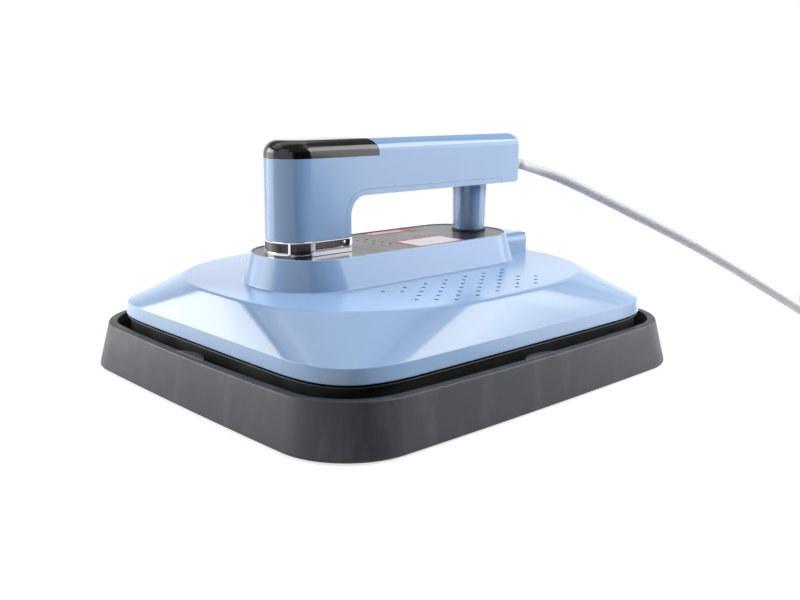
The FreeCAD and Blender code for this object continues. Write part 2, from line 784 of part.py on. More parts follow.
def boss_blocks():
    """The switch housing: a block with rounded upper edges that comes out of the island's rear end."""
    body = doc.addObject("PartDesign::Body", "boss_body")
    sketch = body.newObject("Sketcher::SketchObject", "boss_profile")
    plane = next(f for f in body.Origin.OriginFeatures if f.Role == "YZ_Plane")
    sketch.AttachmentSupport = (plane, [""])
    sketch.MapMode = "FlatFace"
    sketch.setExpression("AttachmentOffset.Base.z", formula("boss_start"))
    half, low, high = size("boss_half_width"), size("deck_height - cover_wall / 2"), size("boss_top")
    points = [(-half, low), (half, low), (half, high), (-half, high)]
    for this, following in zip(points, points[1:] + points[:1]):
        sketch.addGeometry(Part.LineSegment(Vector(*this, 0), Vector(*following, 0)))
    for index in range(4):
        sketch.addConstraint(Sketcher.Constraint("Coincident", index, 2, (index + 1) % 4, 1))
        level = "Vertical" if index % 2 else "Horizontal"
        sketch.addConstraint(Sketcher.Constraint(level, index))
    drives = {
        sketch.addConstraint(Sketcher.Constraint("DistanceX", 0, 1, -1, 1, half)): "boss_half_width",
        sketch.addConstraint(Sketcher.Constraint("DistanceX", -1, 1, 1, 1, half)): "boss_half_width",
        sketch.addConstraint(Sketcher.Constraint("DistanceY", -1, 1, 0, 1, low)):
            "deck_height - cover_wall / 2",
        sketch.addConstraint(Sketcher.Constraint("DistanceY", -1, 1, 2, 1, high)): "boss_top",
    }
    for index, text in drives.items():
        sketch.setExpression("Constraints[%d]" % index, formula(text))
    pad = body.newObject("PartDesign::Pad", "boss_pad")
    pad.Profile = sketch
    pad.setExpression("Length", formula("boss_end - boss_start"))
    doc.recompute()
    rounds = body.newObject("PartDesign::Fillet", "boss_round")
    top = size("boss_top")
    names = ["Edge%d" % number for number, edge in enumerate(pad.Shape.Edges, start=1)
             if edge.BoundBox.ZMin > top - 0.01 and edge.BoundBox.XLength > 1]
    rounds.Base = (pad, names)
    rounds.setExpression("Radius", formula("boss_round"))
    opening = block("boss_opening", "boss_end - boss_start", "case_width + 2 * switch_fit",
                    "case_height + 2 * switch_fit", "(boss_end + boss_start) / 2", "0",
                    "switch_axis_height - case_height / 2 - switch_fit")
    return body, opening


def vent_tools():
    drills = []
    for row, count in enumerate(reversed(VENT_ROWS)):
        for column in range(int(count)):
            x = "%g * vent_pitch_x" % (column - (count - 1) / 2)
            for side in (1, -1):
                y = "%d * (deck_width / 2 - vent_margin - %d * vent_pitch_y)" % (side, row)
                drills.append(rod("vent", "vent_radius", "2 * cover_wall", x, y,
                                  "deck_height - 1.5 * cover_wall"))
    return drills


def handle_screw_places():
    return (("rear_post_x", "handle_screw_spread"), ("rear_post_x", "-handle_screw_spread"),
            ("pillar_screw_front", "0"), ("pillar_screw_rear", "0"))


def panel_openings(name, start, depth):
    """Holes for the handle's screws and wires, in the panel and in the wall under it."""
    holes = [rod(name + "_screw", "handle_screw_radius + screw_clearance", depth, x, y, start)
             for x, y in handle_screw_places()]
    holes.append(rod(name + "_lead", "rear_post_bore", depth, "rear_post_x", "0", start))
    holes.append(rod(name + "_cable", "pillar_wire_radius", depth,
                     "wire_x", "0", start))
    return holes


def make_cover():
    shell, hollow, island, island_hollow = cover_blank()
    boss, opening = boss_blocks()
    recess = slab("panel_recess", "panel_length + 2 * panel_fit", "panel_width + 2 * panel_fit",
                  "panel_corner + panel_fit", "panel_sink + panel_thickness + 1", "ledge")
    posts = [rod("shoulder_post", "shoulder_post_radius", "shoulder_post_height", x, y, "shield_top")
             for x, y in shoulder_posts()]
    bores = [rod("shoulder_bore", "cover_screw_radius + screw_clearance", "cover_bore_depth", x, y,
                 "shield_top") for x, y in shoulder_posts()]
    solid = fuse("cover_solid", shell, island, boss)
    hollowed = cut("cover_hollowed", solid, hollow, island_hollow, opening)
    with_posts = fuse("cover_with_posts", hollowed, *posts)
    tools = [recess] + bores + vent_tools() + panel_openings("ledge", "ledge - cover_wall", "cover_wall")
    subpart("top_cover", cut("top_cover", with_posts, *tools))


def make_cover_screws():
    screws = []
    for x, y in shoulder_posts():
        shank = rod("cover_screw_shank", "cover_screw_radius",
                    "skirt_flange_thickness + shield_thickness + cover_screw_length", x, y, "flange_foot")
        head = rod("cover_screw_head", "cover_screw_head_radius", "screw_head_height", x, y,
                   "flange_foot - screw_head_height")
        screws.append(fuse("cover_screw", shank, head))
    subpart("cover_screws", gather("cover_screws", *screws))


def make_panel():
    blank = slab("panel_blank", "panel_length", "panel_width", "panel_corner", "panel_thickness", "ledge")
    holes = panel_openings("panel", "ledge", "panel_thickness")
    for row in (0, 1):
        for step in (-1.5, -0.5, 0.5, 1.5):
            holes.append(rod("panel_hole", "panel_hole_radius", "panel_thickness",
                             "panel_hole_x + %d * panel_hole_pitch" % row, "%g * panel_hole_pitch" % step,
                             "ledge"))
    subpart("deck_panel", cut("deck_panel", blank, *holes))


# Switch

def make_switch():
    bezel = block("bezel", "bezel_thickness", "bezel_width", "bezel_height",
                  "boss_end + bezel_thickness / 2", "0", "switch_axis_height - bezel_height / 2")
    case = block("switch_case", "switch_depth", "case_width", "case_height", "boss_end - switch_depth / 2",
                 "0", "switch_axis_height - case_height / 2")
    well = block("switch_well", "switch_depth - switch_wall", "rocker_width + 2 * rocker_gap",
                 "2 * rocker_half_height + 2 * rocker_gap",
                 "boss_end + bezel_thickness - (switch_depth - switch_wall) / 2", "0",
                 "switch_axis_height - rocker_half_height - rocker_gap")
    subpart("switch_housing", cut("switch_housing", fuse("switch_block", bezel, case), well))
    spades = [block("spade", "spade_length", "spade_thickness", "spade_width",
                    "boss_end - switch_depth - spade_length / 2", "%d * spade_pitch" % step,
                    "switch_axis_height - spade_width / 2") for step in (-1, 0, 1)]
    subpart("switch_terminals", gather("switch_terminals", *spades))


def make_rocker():
    """The rocker at rest: its lower half stands out of the bezel, its upper half is pressed in."""
    half, nose = size("rocker_half_height"), size("rocker_nose")
    width, throw = size("rocker_width"), size("rocker_throw")
    waist, dish = 0.6 * half, 0.82 * nose
    back, shoulder, edge = -size("rocker_back"), size("rocker_shoulder"), 0.98 * half
    foot = [Vector(back, 0, -waist), Vector(shoulder, 0, -edge), Vector(dish, 0, -edge)]
    head = [Vector(dish, 0, edge), Vector(shoulder, 0, edge), Vector(back, 0, waist)]
    front = Part.Arc(foot[2], Vector(nose, 0, 0), head[0]).toShape()
    edges = [Part.makePolygon(foot), front, Part.makePolygon(head), Part.makePolygon([head[2], foot[0]])]
    profile = Part.Wire([edge for part in edges for edge in part.Edges])
    shape = Part.Face(profile).extrude(Vector(0, width, 0))
    shape.translate(Vector(0, -width / 2, 0))
    shape.rotate(Vector(), Vector(0, 1, 0), -throw)
    shape.translate(Vector(size("pivot_x"), 0, size("switch_axis_height")))
    subpart("power_rocker", own("power_rocker", shape))


# Handle


def handle_outline(body, name, inset, z):
    """Plan of the handle: a half-round nose, two straight sides and a square end, all inset alike."""
    sketch = body.newObject("Sketcher::SketchObject", name)
    plane = next(f for f in body.Origin.OriginFeatures if f.Role == "XY_Plane")
    sketch.AttachmentSupport = (plane, [""])
    sketch.MapMode = "FlatFace"
    sketch.setExpression("AttachmentOffset.Base.z", formula(z))
    half = size("handle_width / 2 - (%s)" % inset)
    centre, end = size("handle_nose + handle_width / 2"), size("handle_end - (%s)" % inset)
    low = sketch.addGeometry(Part.LineSegment(Vector(centre, -half, 0), Vector(end, -half, 0)))
    rear = sketch.addGeometry(Part.LineSegment(Vector(end, -half, 0), Vector(end, half, 0)))
    high = sketch.addGeometry(Part.LineSegment(Vector(end, half, 0), Vector(centre, half, 0)))
    circle = Part.Circle(Vector(centre, 0, 0), Vector(0, 0, 1), half)
    nose = sketch.addGeometry(Part.ArcOfCircle(circle, math.pi / 2, 3 * math.pi / 2))
    sketch.addConstraint([
        Sketcher.Constraint("Coincident", low, 2, rear, 1),
        Sketcher.Constraint("Coincident", rear, 2, high, 1),
        Sketcher.Constraint("Tangent", high, 2, nose, 1),
        Sketcher.Constraint("Tangent", nose, 2, low, 1),
        Sketcher.Constraint("Horizontal", low),
        Sketcher.Constraint("Vertical", rear),
        Sketcher.Constraint("PointOnObject", nose, 3, -1),
    ])
    drives = {
        sketch.addConstraint(Sketcher.Constraint("Radius", nose, half)):
            "handle_width / 2 - (%s)" % inset,
        sketch.addConstraint(Sketcher.Constraint("DistanceX", nose, 3, -1, 1, -centre)):
            "-(handle_nose + handle_width / 2)",
        sketch.addConstraint(Sketcher.Constraint("DistanceX", -1, 1, rear, 1, end)):
            "handle_end - (%s)" % inset,
    }
    for index, text in drives.items():
        sketch.setExpression("Constraints[%d]" % index, formula(text))
    return sketch


def handle_blank():
    """The handle's whole outer form, before it is split into its mouldings."""
    body = doc.addObject("PartDesign::Body", "handle_blank")
    pad = body.newObject("PartDesign::Pad", "handle_pad")
    pad.Profile = handle_outline(body, "handle_plan", "0", "collar_top")
    pad.setExpression("Length", formula("handle_top - collar_top"))
    doc.recompute()
    top = size("handle_top")
    ends = body.newObject("PartDesign::Fillet", "handle_end_round")
    half = size("handle_width / 2")
    names = ["Edge%d" % number for number, edge in enumerate(pad.Shape.Edges, start=1)
             if edge.BoundBox.XMin > size("handle_end") - 0.01 and edge.BoundBox.ZLength > 1
             and abs(edge.CenterOfMass.y) > half - 0.01]
    ends.Base = (pad, names)
    ends.setExpression("Radius", formula("handle_end_round"))
    doc.recompute()
    rounds = body.newObject("PartDesign::Fillet", "handle_top_round")
    names = ["Edge%d" % number for number, edge in enumerate(ends.Shape.Edges, start=1)
             if edge.BoundBox.ZMin > top - 0.01]
    rounds.Base = (ends, names)
    rounds.setExpression("Radius", formula("handle_top_round"))
    return body


def arch_tool(name, grow):
    """The space under the grip, made larger by grow, as a cutter across the handle."""
    left = "post_rear - (%s)" % grow
    top = "grip_underside + (%s)" % grow
    radius = "arch_radius + (%s)" % grow
    foot = "collar_top - 1"
    length = "handle_end + 1 - (%s)" % left
    lower = block(name + "_lower", length, "handle_width + 2", "(%s) - (%s) - (%s)" % (top, radius, foot),
                  "(%s) + (%s) / 2" % (left, length), "0", foot)
    upper = block(name + "_upper", "(%s) - (%s)" % (length, radius), "handle_width + 2",
                  "(%s) - (%s)" % (top, foot), "(%s) + (%s) + ((%s) - (%s)) / 2" % (left, radius, length,
                                                                                   radius), "0", foot)
    corner = rod(name + "_corner", radius, "handle_width + 2", "(%s) + (%s)" % (left, radius),
                 "handle_width / 2 + 1", "(%s) - (%s)" % (top, radius), Rotation(Vector(1, 0, 0), 90))
    return fuse(name, lower, upper, corner)


def handle_cavity():
    body = doc.addObject("PartDesign::Body", "handle_cavity")
    pad = body.newObject("PartDesign::Pad", "handle_cavity_pad")
    pad.Profile = handle_outline(body, "handle_cavity_plan", "cavity_inset", "collar_top")
    pad.setExpression("Length", formula("cavity_top - collar_top"))
    return cut("handle_hollow", body, arch_tool("cavity_arch", "handle_wall"))


def cap_region(name, gap):
    """The control end's share of the handle: all above the cap's foot and forward of its end."""
    length = "cap_end - (%s) - handle_nose + 2" % gap
    return block(name, length, "handle_width + 2", "handle_top - cap_bottom + 2",
                 "cap_end - (%s) - (%s) / 2" % (gap, length), "0", "cap_bottom")


def make_handle():
    blank = cut("handle_form", handle_blank(), arch_tool("arch", "0"))
    cavity = handle_cavity()
    strip_length = "liner_end - post_rear + liner_thickness + 2"
    reach = block("liner_reach", strip_length, "handle_width + 2", "handle_top",
                  "liner_end - (%s) / 2" % strip_length, "0", "0")
    strip = common("liner_zone", arch_tool("liner_arch", "liner_thickness"), reach)
    relief = relief_cone("relief_hole", "relief_fit")
    hollowed = cut("handle_hollowed", blank, cavity, relief)
    bore = rod("liner_bore", "rear_post_bore", "2 * liner_thickness", "rear_post_x", "0",
               "grip_underside - liner_thickness / 2")
    subpart("handle_liner", cut("handle_liner", common("liner_form", hollowed, strip), bore))
    subpart("handle_shell", cut("handle_shell", hollowed, strip, cap_region("cap_seat", "0")))
    cap = common("cap_form", blank, cap_region("cap_zone", "0"))
    room = block("cap_room", "cap_end - cap_wall - cap_room_start", "2 * cavity_half_width",
                 "handle_top - cap_wall - cap_bottom", "(cap_end - cap_wall + cap_room_start) / 2", "0",
                 "cap_bottom")
    subpart("control_cap", cut("control_cap", cap, room))


def make_collar():
    def stadium(name, inset, foot, rise):
        """The post's plan, inset on all sides, from its round nose to its flat rear."""
        radius = "handle_width / 2 - (%s)" % inset
        centre = "handle_nose + handle_width / 2"
        length = "post_rear - (%s) - (%s)" % (inset, centre)
        nose = rod(name + "_nose", radius, rise, centre, "0", foot)
        back = block(name + "_back", length, "2 * (%s)" % radius, rise,
                     "(%s) + (%s) / 2" % (centre, length), "0", foot)
        return fuse(name, nose, back)

    outside = stadium("collar_outside", "-collar_proud", "panel_top", "collar_height")
    inside = stadium("collar_inside", "collar_wall - collar_proud", "panel_top", "collar_height")
    subpart("chrome_collar", cut("chrome_collar", outside, inside))


def make_pillar():
    length = "pillar_end - pillar_start"
    middle = "(pillar_end + pillar_start) / 2"
    rise = "cap_bottom - pillar_drop - panel_top"
    solid = slab("pillar_blank", length, "2 * pillar_half_width", "pillar_corner", rise, "panel_top", middle)
    bores = [rod("pillar_bore", "handle_screw_radius + screw_clearance", "handle_screw_reach", x, y,
                 "panel_top") for x, y in handle_screw_places()[2:]]
    bores.append(rod("pillar_wire_bore", "pillar_wire_radius", rise,
                     "wire_x", "0", "panel_top"))
    subpart("handle_pillar", cut("handle_pillar", solid, *bores))


def make_rear_post():
    foot = "panel_top + gasket_thickness"
    rise = "grip_underside - (%s)" % foot
    solid = taper("rear_post_solid", "rear_post_foot_radius", "rear_post_head_radius", rise,
                  "rear_post_x", "0", foot)
    bore = rod("rear_post_bore_tool", "rear_post_bore", rise, "rear_post_x", "0", foot)
    taps = [rod("rear_post_tap", "handle_screw_radius + screw_clearance", "handle_screw_reach", x, y, foot)
            for x, y in handle_screw_places()[:2]]
    subpart("rear_post", cut("rear_post", solid, bore, *taps))
    ring = rod("gasket_ring", "gasket_radius", "gasket_thickness", "rear_post_x", "0", "panel_top")
    holes = [rod("gasket_hole", "handle_screw_radius + screw_clearance", "gasket_thickness", x, y,
                 "panel_top") for x, y in handle_screw_places()[:2]]
    holes.append(rod("gasket_bore", "rear_post_bore", "gasket_thickness", "rear_post_x", "0", "panel_top"))
    subpart("post_gasket", cut("post_gasket", ring, *holes))


def make_handle_screws():
    screws = []
    underside = "ledge - cover_wall"
    for x, y in handle_screw_places():
        shank = rod("handle_screw_shank", "handle_screw_radius", "handle_screw_reach", x, y, underside)
        head = rod("handle_screw_head", "handle_screw_head_radius", "screw_head_height", x, y,
                   underside + " - screw_head_height")
        screws.append(fuse("handle_screw", shank, head))
    subpart("handle_screws", gather("handle_screws", *screws))


# Control end and electronics


def make_display():
    foot = "cap_bottom - pillar_drop"
    middle = "pillar_start + display_board_length / 2"
    subpart("display_board", slab("display_board", "display_board_length", "display_board_width",
                                  "display_board_corner", "board_thickness", foot, middle))
    subpart("display_module", block("display_module", "display_length", "display_width",
                                    "display_height", middle, "0", foot + " + board_thickness"))


def make_electronics():
    top = "board_height + board_thickness"
    subpart("main_board", slab("main_board", "board_length", "board_width", "board_corner",
                               "board_thickness", "board_height", "board_x"))
    posts = [rod("board_post", "board_post_radius", "board_height - shield_top",
                 "board_x + %d * (board_length / 2 - board_post_inset)" % x,
                 "%d * (board_width / 2 - board_post_inset)" % y, "shield_top") for x, y in CORNERS]
    subpart("board_posts", gather("board_posts", *posts))

    def spot(name, ahead="0"):
        x, y = BOARD_PLACES[name]
        return "board_x + (%d) + (%s)" % (x, ahead), str(y)

    for name in ("relay", "transformer"):
        subpart(name, block(name, name + "_length", name + "_width", name + "_height", *spot(name), top))
    for name in ("capacitor", "buzzer"):
        subpart(name, rod(name, name + "_radius", name + "_height", *spot(name), top))
    subpart("terminal_block", block("terminal_block", "terminal_length", "terminal_width",
                                    "terminal_height", *spot("terminal_block"), top))
    holder = block("fuse_holder", "fuse_length + 2 * fuse_end", "fuse_block", "fuse_block",
                   *spot("fuse"), top)
    barrel = rod("fuse_barrel", "fuse_radius", "fuse_length", *spot("fuse", "-fuse_length / 2"),
                 top + " + fuse_block + fuse_radius - fuse_seat", Rotation(Vector(0, 1, 0), 90))
    subpart("fuse", fuse("fuse", holder, barrel))
    subpart("temperature_sensor", block("temperature_sensor", "sensor_length", "sensor_width",
                                        "sensor_height", "0", "0", "plate_top"))
    subpart("thermal_cutout", rod("thermal_cutout", "cutout_radius", "sensor_height", "cutout_x", "0",
                                  "plate_top"))


def make_leads():
    """The mains lead inside the handle, and the heater's two leads up through the shield."""
    post_x, lead_z, bend = size("rear_post_x"), size("lead_height"), size("lead_bend")
    start_x = size("cavity_end")
    end_z = size("board_height + board_thickness + terminal_height")
    turn = bend * (1 - math.sqrt(0.5))
    path = Part.Wire([
        Part.LineSegment(Vector(start_x, 0, lead_z), Vector(post_x + bend, 0, lead_z)).toShape(),
        Part.Arc(Vector(post_x + bend, 0, lead_z), Vector(post_x + turn, 0, lead_z - turn),
                 Vector(post_x, 0, lead_z - bend)).toShape(),
        Part.LineSegment(Vector(post_x, 0, lead_z - bend), Vector(post_x, 0, end_z)).toShape(),
    ])
    subpart("mains_lead", own("mains_lead", swept(path, size("lead_radius"))))
    foot = "plate_top + element_radius + 0.1"
    leads = [rod("heater_lead", "heater_lead_radius", "board_height - (%s) - 4" % foot,
                 "heater_lead_x", "%d * 3 * element_bend" % side, foot) for side in (-1, 1)]
    subpart("heater_leads", gather("heater_leads", *leads))
    subpart("display_cable", block("display_cable", "cable_thickness", "cable_width",
                                   "cap_bottom - pillar_drop - ledge + cover_wall + cable_tail", "wire_x",
                                   "0", "ledge - cover_wall - cable_tail"))
    subpart("cord_clamp", block("cord_clamp", "clamp_length", "clamp_width", "clamp_height",
                                   "cavity_end - clamp_length", "0",
                                "lead_height - lead_radius - clamp_height"))


# Cord


def route_points():
    """The route's points in the part's own frame."""
    return [Vector(size("handle_end") + x, y, z) for x, y, z in CORD_ROUTE]


def relief_cone(name, grow):
    """The tapered strain relief, pointing along the cord's first run and ending where the cord starts."""
    start, following = route_points()[:2]
    along = (following - start).normalize()
    cone = taper(name, "relief_radius + (%s)" % grow, "relief_tip_radius + (%s)" % grow, "relief_length")
    foot = start - along * size("relief_length")
    cone.Placement = Placement(foot, Rotation(Vector(0, 0, 1), along))
    for axis in "xyz":
        cone.setExpression("Placement.Base." + axis, None)
    return cone


def cord_wire(points):
    """Straight runs joined by tangent arcs, each as large as its two runs allow."""
    edges, last, radii = [], points[0], []
    for before, corner, after in zip(points, points[1:], points[2:]):
        inward, outward = (corner - before).normalize(), (after - corner).normalize()
        run = min((corner - before).Length, (after - corner).Length)
        half_turn = inward.getAngle(outward) / 2
        radius = 0.45 * run / math.tan(half_turn)
        radii.append(round(radius, 1))
        start, end = corner - inward * 0.45 * run, corner + outward * 0.45 * run
        towards = (outward - inward).normalize()
        middle = corner + towards * (radius / math.cos(half_turn) - radius)
        edges.append(Part.LineSegment(last, start).toShape())
        edges.append(Part.Arc(start, middle, end).toShape())
        last = end
    edges.append(Part.LineSegment(last, points[-1]).toShape())
    print("cord radii", radii)
    return Part.Wire(edges)


def biarc(start, start_way, end, end_way):
    """Two tangent arcs from one point and direction to another."""
    chord = end - start
    ways = start_way + end_way
    quad = 2 * (1 - start_way.dot(end_way))
    reach = chord.dot(ways)
    root = math.sqrt(reach ** 2 + quad * chord.dot(chord))
    step = (-reach + root) / quad
    joint = (start + start_way * step + end - end_way * step) * 0.5
    return [arc_from(start, start_way, joint), arc_from(end, end_way, joint, backwards=True)]


def arc_from(start, way, end, backwards=False):
    """The arc that leaves start along way, or arrives at it, and has its other end at end."""
    chord = end - start
    if backwards:
        way = way * -1
    across = chord - way * chord.dot(way)
    across.normalize()
    radius = chord.dot(chord) / (2 * chord.dot(across))
    centre = start + across * radius
    middle = centre + ((start - centre) + (end - centre)).normalize() * radius
    first, last = (end, start) if backwards else (start, end)
    return Part.Arc(first, middle, last).toShape()


def coil_frame():
    """The coil's centre on the floor and the direction from it to where the cord joins it."""
    before, last = route_points()[-2:]
    along = (last - before).normalize()
    lead_in = 2 * size("cord_radius")
    inward = Vector(-along.y, along.x, 0)
    start = last + along * lead_in
    centre = start + inward * size("coil_radius")
    return last, along, Vector(centre.x, centre.y, 0), math.atan2(-inward.y, -inward.x)


def coil_point(turn, centre, first_angle):
    """A point of the coil: it winds inward on the floor, climbs one layer, and winds out again."""
    turns = size("coil_turns")
    radius = size("coil_radius") - size("coil_pitch") * min(turn, turns - turn)
    share = min(max((turn - turns / 2) * 2 + 0.5, 0), 1)
    rise = size("coil_layer") * (1 - math.cos(math.pi * share)) / 2
    angle = first_angle + 2 * math.pi * turn
    return centre + Vector(radius * math.cos(angle), radius * math.sin(angle), size("cord_lay") + rise)


def coil_wire():
    last, along, centre, first_angle = coil_frame()
    steps = int(size("coil_turns")) * 4
    nudge = 0.01

    def way(turn):
        return (coil_point(turn + nudge, centre, first_angle)
                - coil_point(turn - nudge, centre, first_angle)).normalize()

    edges = []
    points = [coil_point(step / 4, centre, first_angle) for step in range(steps + 1)]
    ways = [along] + [way(step / 4) for step in range(1, steps)] + [along]
    edges.append(Part.LineSegment(last, points[0]).toShape())
    for step in range(steps):
        edges += biarc(points[step], ways[step], points[step + 1], ways[step + 1])
    tail = points[-1] + along * size("coil_tail")
    edges.append(Part.LineSegment(points[-1], tail).toShape())
    print("coil self gap", round(self_gap(centre, first_angle), 2), "length",
          round(sum(edge.Length for edge in edges), 1))
    return Part.Wire(edges), tail, along


def self_gap(centre, first_angle):
    """The least distance between surfaces of turns that lie beside or on each other."""
    count = int(size("coil_turns")) * 36
    points = [coil_point(step / 36, centre, first_angle) for step in range(count + 1)]
    least = min((first - second).Length for index, first in enumerate(points)
                for second in points[index + 18:])
    return least - 2 * size("cord_radius")


def make_cord():
    relief = relief_cone("strain_relief", "0")
    end_face = block("relief_trim", "relief_length", "handle_width", "handle_top",
                     "cavity_end - relief_length / 2")
    subpart("strain_relief", cut("strain_relief", relief, end_face))
    wire = cord_wire(route_points())
    radius = size("cord_radius")
    tube = swept(wire, radius)
    print("cord length", round(wire.Length, 1), "volume ratio",
          round(tube.Volume / (math.pi * radius ** 2 * wire.Length), 4))
    subpart("mains_cord", own("mains_cord", tube))
    route, tail, along = coil_wire()
    coil = swept(route, radius)
    print("coil volume ratio", round(coil.Volume / (math.pi * radius ** 2 * route.Length), 4))
    subpart("cord_coil", own("cord_coil", coil))
    make_plug(tail, along)


def make_plug(tail, along):
    """A moulded plug on the coil's end, lying on the floor beside it, with two blades and a ground pin."""
    sleeve = Part.makeCone(size("cord_radius + plug_sleeve_start"), size("cord_radius + plug_sleeve_end"),
                           size("plug_sleeve_length"))
    body = Part.makeBox(2 * tail.z, size("plug_width"), size("plug_length"),
                        Vector(-tail.z, -size("plug_width / 2"), size("plug_sleeve_length")))
    body = body.makeFillet(size("plug_round"), [edge for edge in body.Edges if edge.BoundBox.ZLength > 1])
    face = size("plug_sleeve_length + plug_length")
    pitch = size("blade_pitch / 2")
    low, half = -size("blade_width / 2 + blade_offset"), size("blade_thickness / 2")
    blades = [Part.makeBox(size("blade_width"), 2 * half, size("blade_length"),
                           Vector(low, side * pitch - half, face)) for side in (-1, 1)]
    ground = Part.makeCylinder(size("ground_pin_radius"), size("ground_pin_length"),
                               Vector(size("ground_pin_drop"), 0, face))
    frame = FreeCAD.Matrix(0, along.y, along.x, tail.x, 0, -along.x, along.y, tail.y, 1, 0, 0, tail.z)
    plug = sleeve.fuse(body)
    pins = Part.makeCompound(blades + [ground])
    plug.Placement = Placement(frame)
    pins.Placement = Placement(frame)
    subpart("plug", own("plug", plug))
    subpart("plug_pins", own("plug_pins", pins))


def check_and_write():
    doc.recompute()
    for thing in doc.Objects:
        if "Invalid" in thing.State or "Error" in thing.State:
            raise RuntimeError("%s failed: %s" % (thing.Label, thing.State))
    os.makedirs("parts", exist_ok=True)
    for node, thing in subparts:
        if thing.Shape.isNull() or not thing.Shape.isValid() or not thing.Shape.Solids:
            raise RuntimeError("%s has no valid shape" % node)
        thing.Shape.exportStep("parts/%s.step" % node)
    print("wrote", len(subparts), "sub-parts")


make_tray()
make_tray_fittings()
make_plate()
make_insulation()
make_shield()
make_standoffs()
make_skirt()
make_cover()
make_cover_screws()
make_panel()
make_switch()
make_rocker()
make_handle()
make_collar()
make_pillar()
make_rear_post()
make_handle_screws()
make_display()
make_electronics()
make_leads()
make_cord()
check_and_write()
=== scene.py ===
"""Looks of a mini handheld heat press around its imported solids: a pressed cover with a bridge handle,
resting in its tray, with the mains cord wound up beside it. Sizes in millimetres, objects in metres."""
import math

import bmesh
import bpy
from mathutils import Matrix, Vector


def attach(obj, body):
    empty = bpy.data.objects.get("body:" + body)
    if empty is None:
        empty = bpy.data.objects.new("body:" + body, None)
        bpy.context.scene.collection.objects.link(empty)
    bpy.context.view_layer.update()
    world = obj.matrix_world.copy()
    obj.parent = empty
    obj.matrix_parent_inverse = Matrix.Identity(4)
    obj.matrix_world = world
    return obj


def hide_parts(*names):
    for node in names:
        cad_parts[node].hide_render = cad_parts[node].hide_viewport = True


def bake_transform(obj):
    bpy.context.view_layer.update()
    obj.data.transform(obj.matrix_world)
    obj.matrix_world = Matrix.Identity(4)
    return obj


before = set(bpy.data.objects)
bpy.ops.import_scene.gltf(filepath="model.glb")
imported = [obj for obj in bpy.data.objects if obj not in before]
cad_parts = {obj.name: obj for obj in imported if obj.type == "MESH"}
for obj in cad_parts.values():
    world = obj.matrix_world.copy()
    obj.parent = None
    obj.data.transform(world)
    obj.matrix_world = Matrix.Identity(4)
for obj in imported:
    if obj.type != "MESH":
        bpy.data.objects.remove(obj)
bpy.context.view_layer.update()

MM = 0.001
# Points per quarter turn of an outline, per side of it, and per rounded edge of a profile
ARC_STEPS, SIDE_STEPS, ROUND_STEPS = 32, 12, 5


# ---------------------------------------------------------------- camera and lights

CAMERA_PLACE = (-0.45934, -0.50482, 0.19805)
CAMERA_YAW, CAMERA_PITCH, CAMERA_ROLL = 0.7532, 0.2206, 0.008807
CAMERA_LENS, CAMERA_SENSOR, CAMERA_CLIP = 42.27, 36, (0.02, 60)


def make_camera():
    """The photograph's viewpoint."""
    camera = bpy.data.objects.new("camera", bpy.data.cameras.new("camera"))
    bpy.context.scene.collection.objects.link(camera)
    turn = (Matrix.Rotation(-CAMERA_YAW, 4, "Z") @ Matrix.Rotation(math.pi / 2 - CAMERA_PITCH, 4, "X")
            @ Matrix.Rotation(CAMERA_ROLL, 4, "Z"))
    camera.matrix_world = Matrix.Translation(CAMERA_PLACE) @ turn
    camera.data.lens, camera.data.sensor_width = CAMERA_LENS, CAMERA_SENSOR
    camera.data.clip_start, camera.data.clip_end = CAMERA_CLIP
    bpy.context.scene.camera = camera


# Softboxes: name, azimuth and height in degrees, distance, width, height, radiance at the middle, and
# the azimuth along which the width lies
SOFTBOXES = (
    ("key", -42, 36, 1.6, 0.84, 0.58, 30.0, 48),
    ("back", 131, 21, 1.6, 0.96, 0.48, 27.0, 41),
    ("left", 192, 34, 1.5, 0.90, 0.60, 4.5, -78),
    ("low_right", -26, 17, 1.2, 0.92, 0.58, 4.2, 64),
    ("low_left", 131, 6, 1.2, 0.80, 0.40, 3.0, 41),
    ("upper_right", -45, 58, 1.5, 0.60, 0.50, 5.5, 45),
    ("upper_left", 138, 50, 1.5, 0.80, 0.62, 6.5, 48),
    ("overhead", 72, 70, 1.5, 1.50, 0.90, 6.0, -18),
)
# Each softbox is brighter towards its middle: the shares of its size at which a layer is added
LAYERS = (1.0, 0.88, 0.76, 0.64, 0.52)
AIM = (0, 0, 0.07)
AMBIENT, AMBIENT_COLOUR = 0.1, (0.93, 0.96, 1.0, 1)
# The backdrop is plain white to the camera's own rays. Mirrored rays find a studio: white, with a
# dark side and two bright sides, each given as its azimuth, the cosines between which it fades in
# and its level, and a dim ceiling, given as its level and the heights between which it fades in
WHITE, MIRRORED_WHITE = 1.0, 1.25
SIDES = ((-90, (0.68, 0.86), 0.03), (-34, (0.92, 0.96), 3.2), (131, (0.90, 0.95), 3.6))
CEILING, CEILING_RISE = 0.3, (0.3, 0.5)


def pointing(azimuth, height):
    """The direction at that azimuth and height, in degrees."""
    turn, rise = math.radians(azimuth), math.radians(height)
    return Vector((math.cos(turn) * math.cos(rise), math.sin(turn) * math.cos(rise), math.sin(rise)))


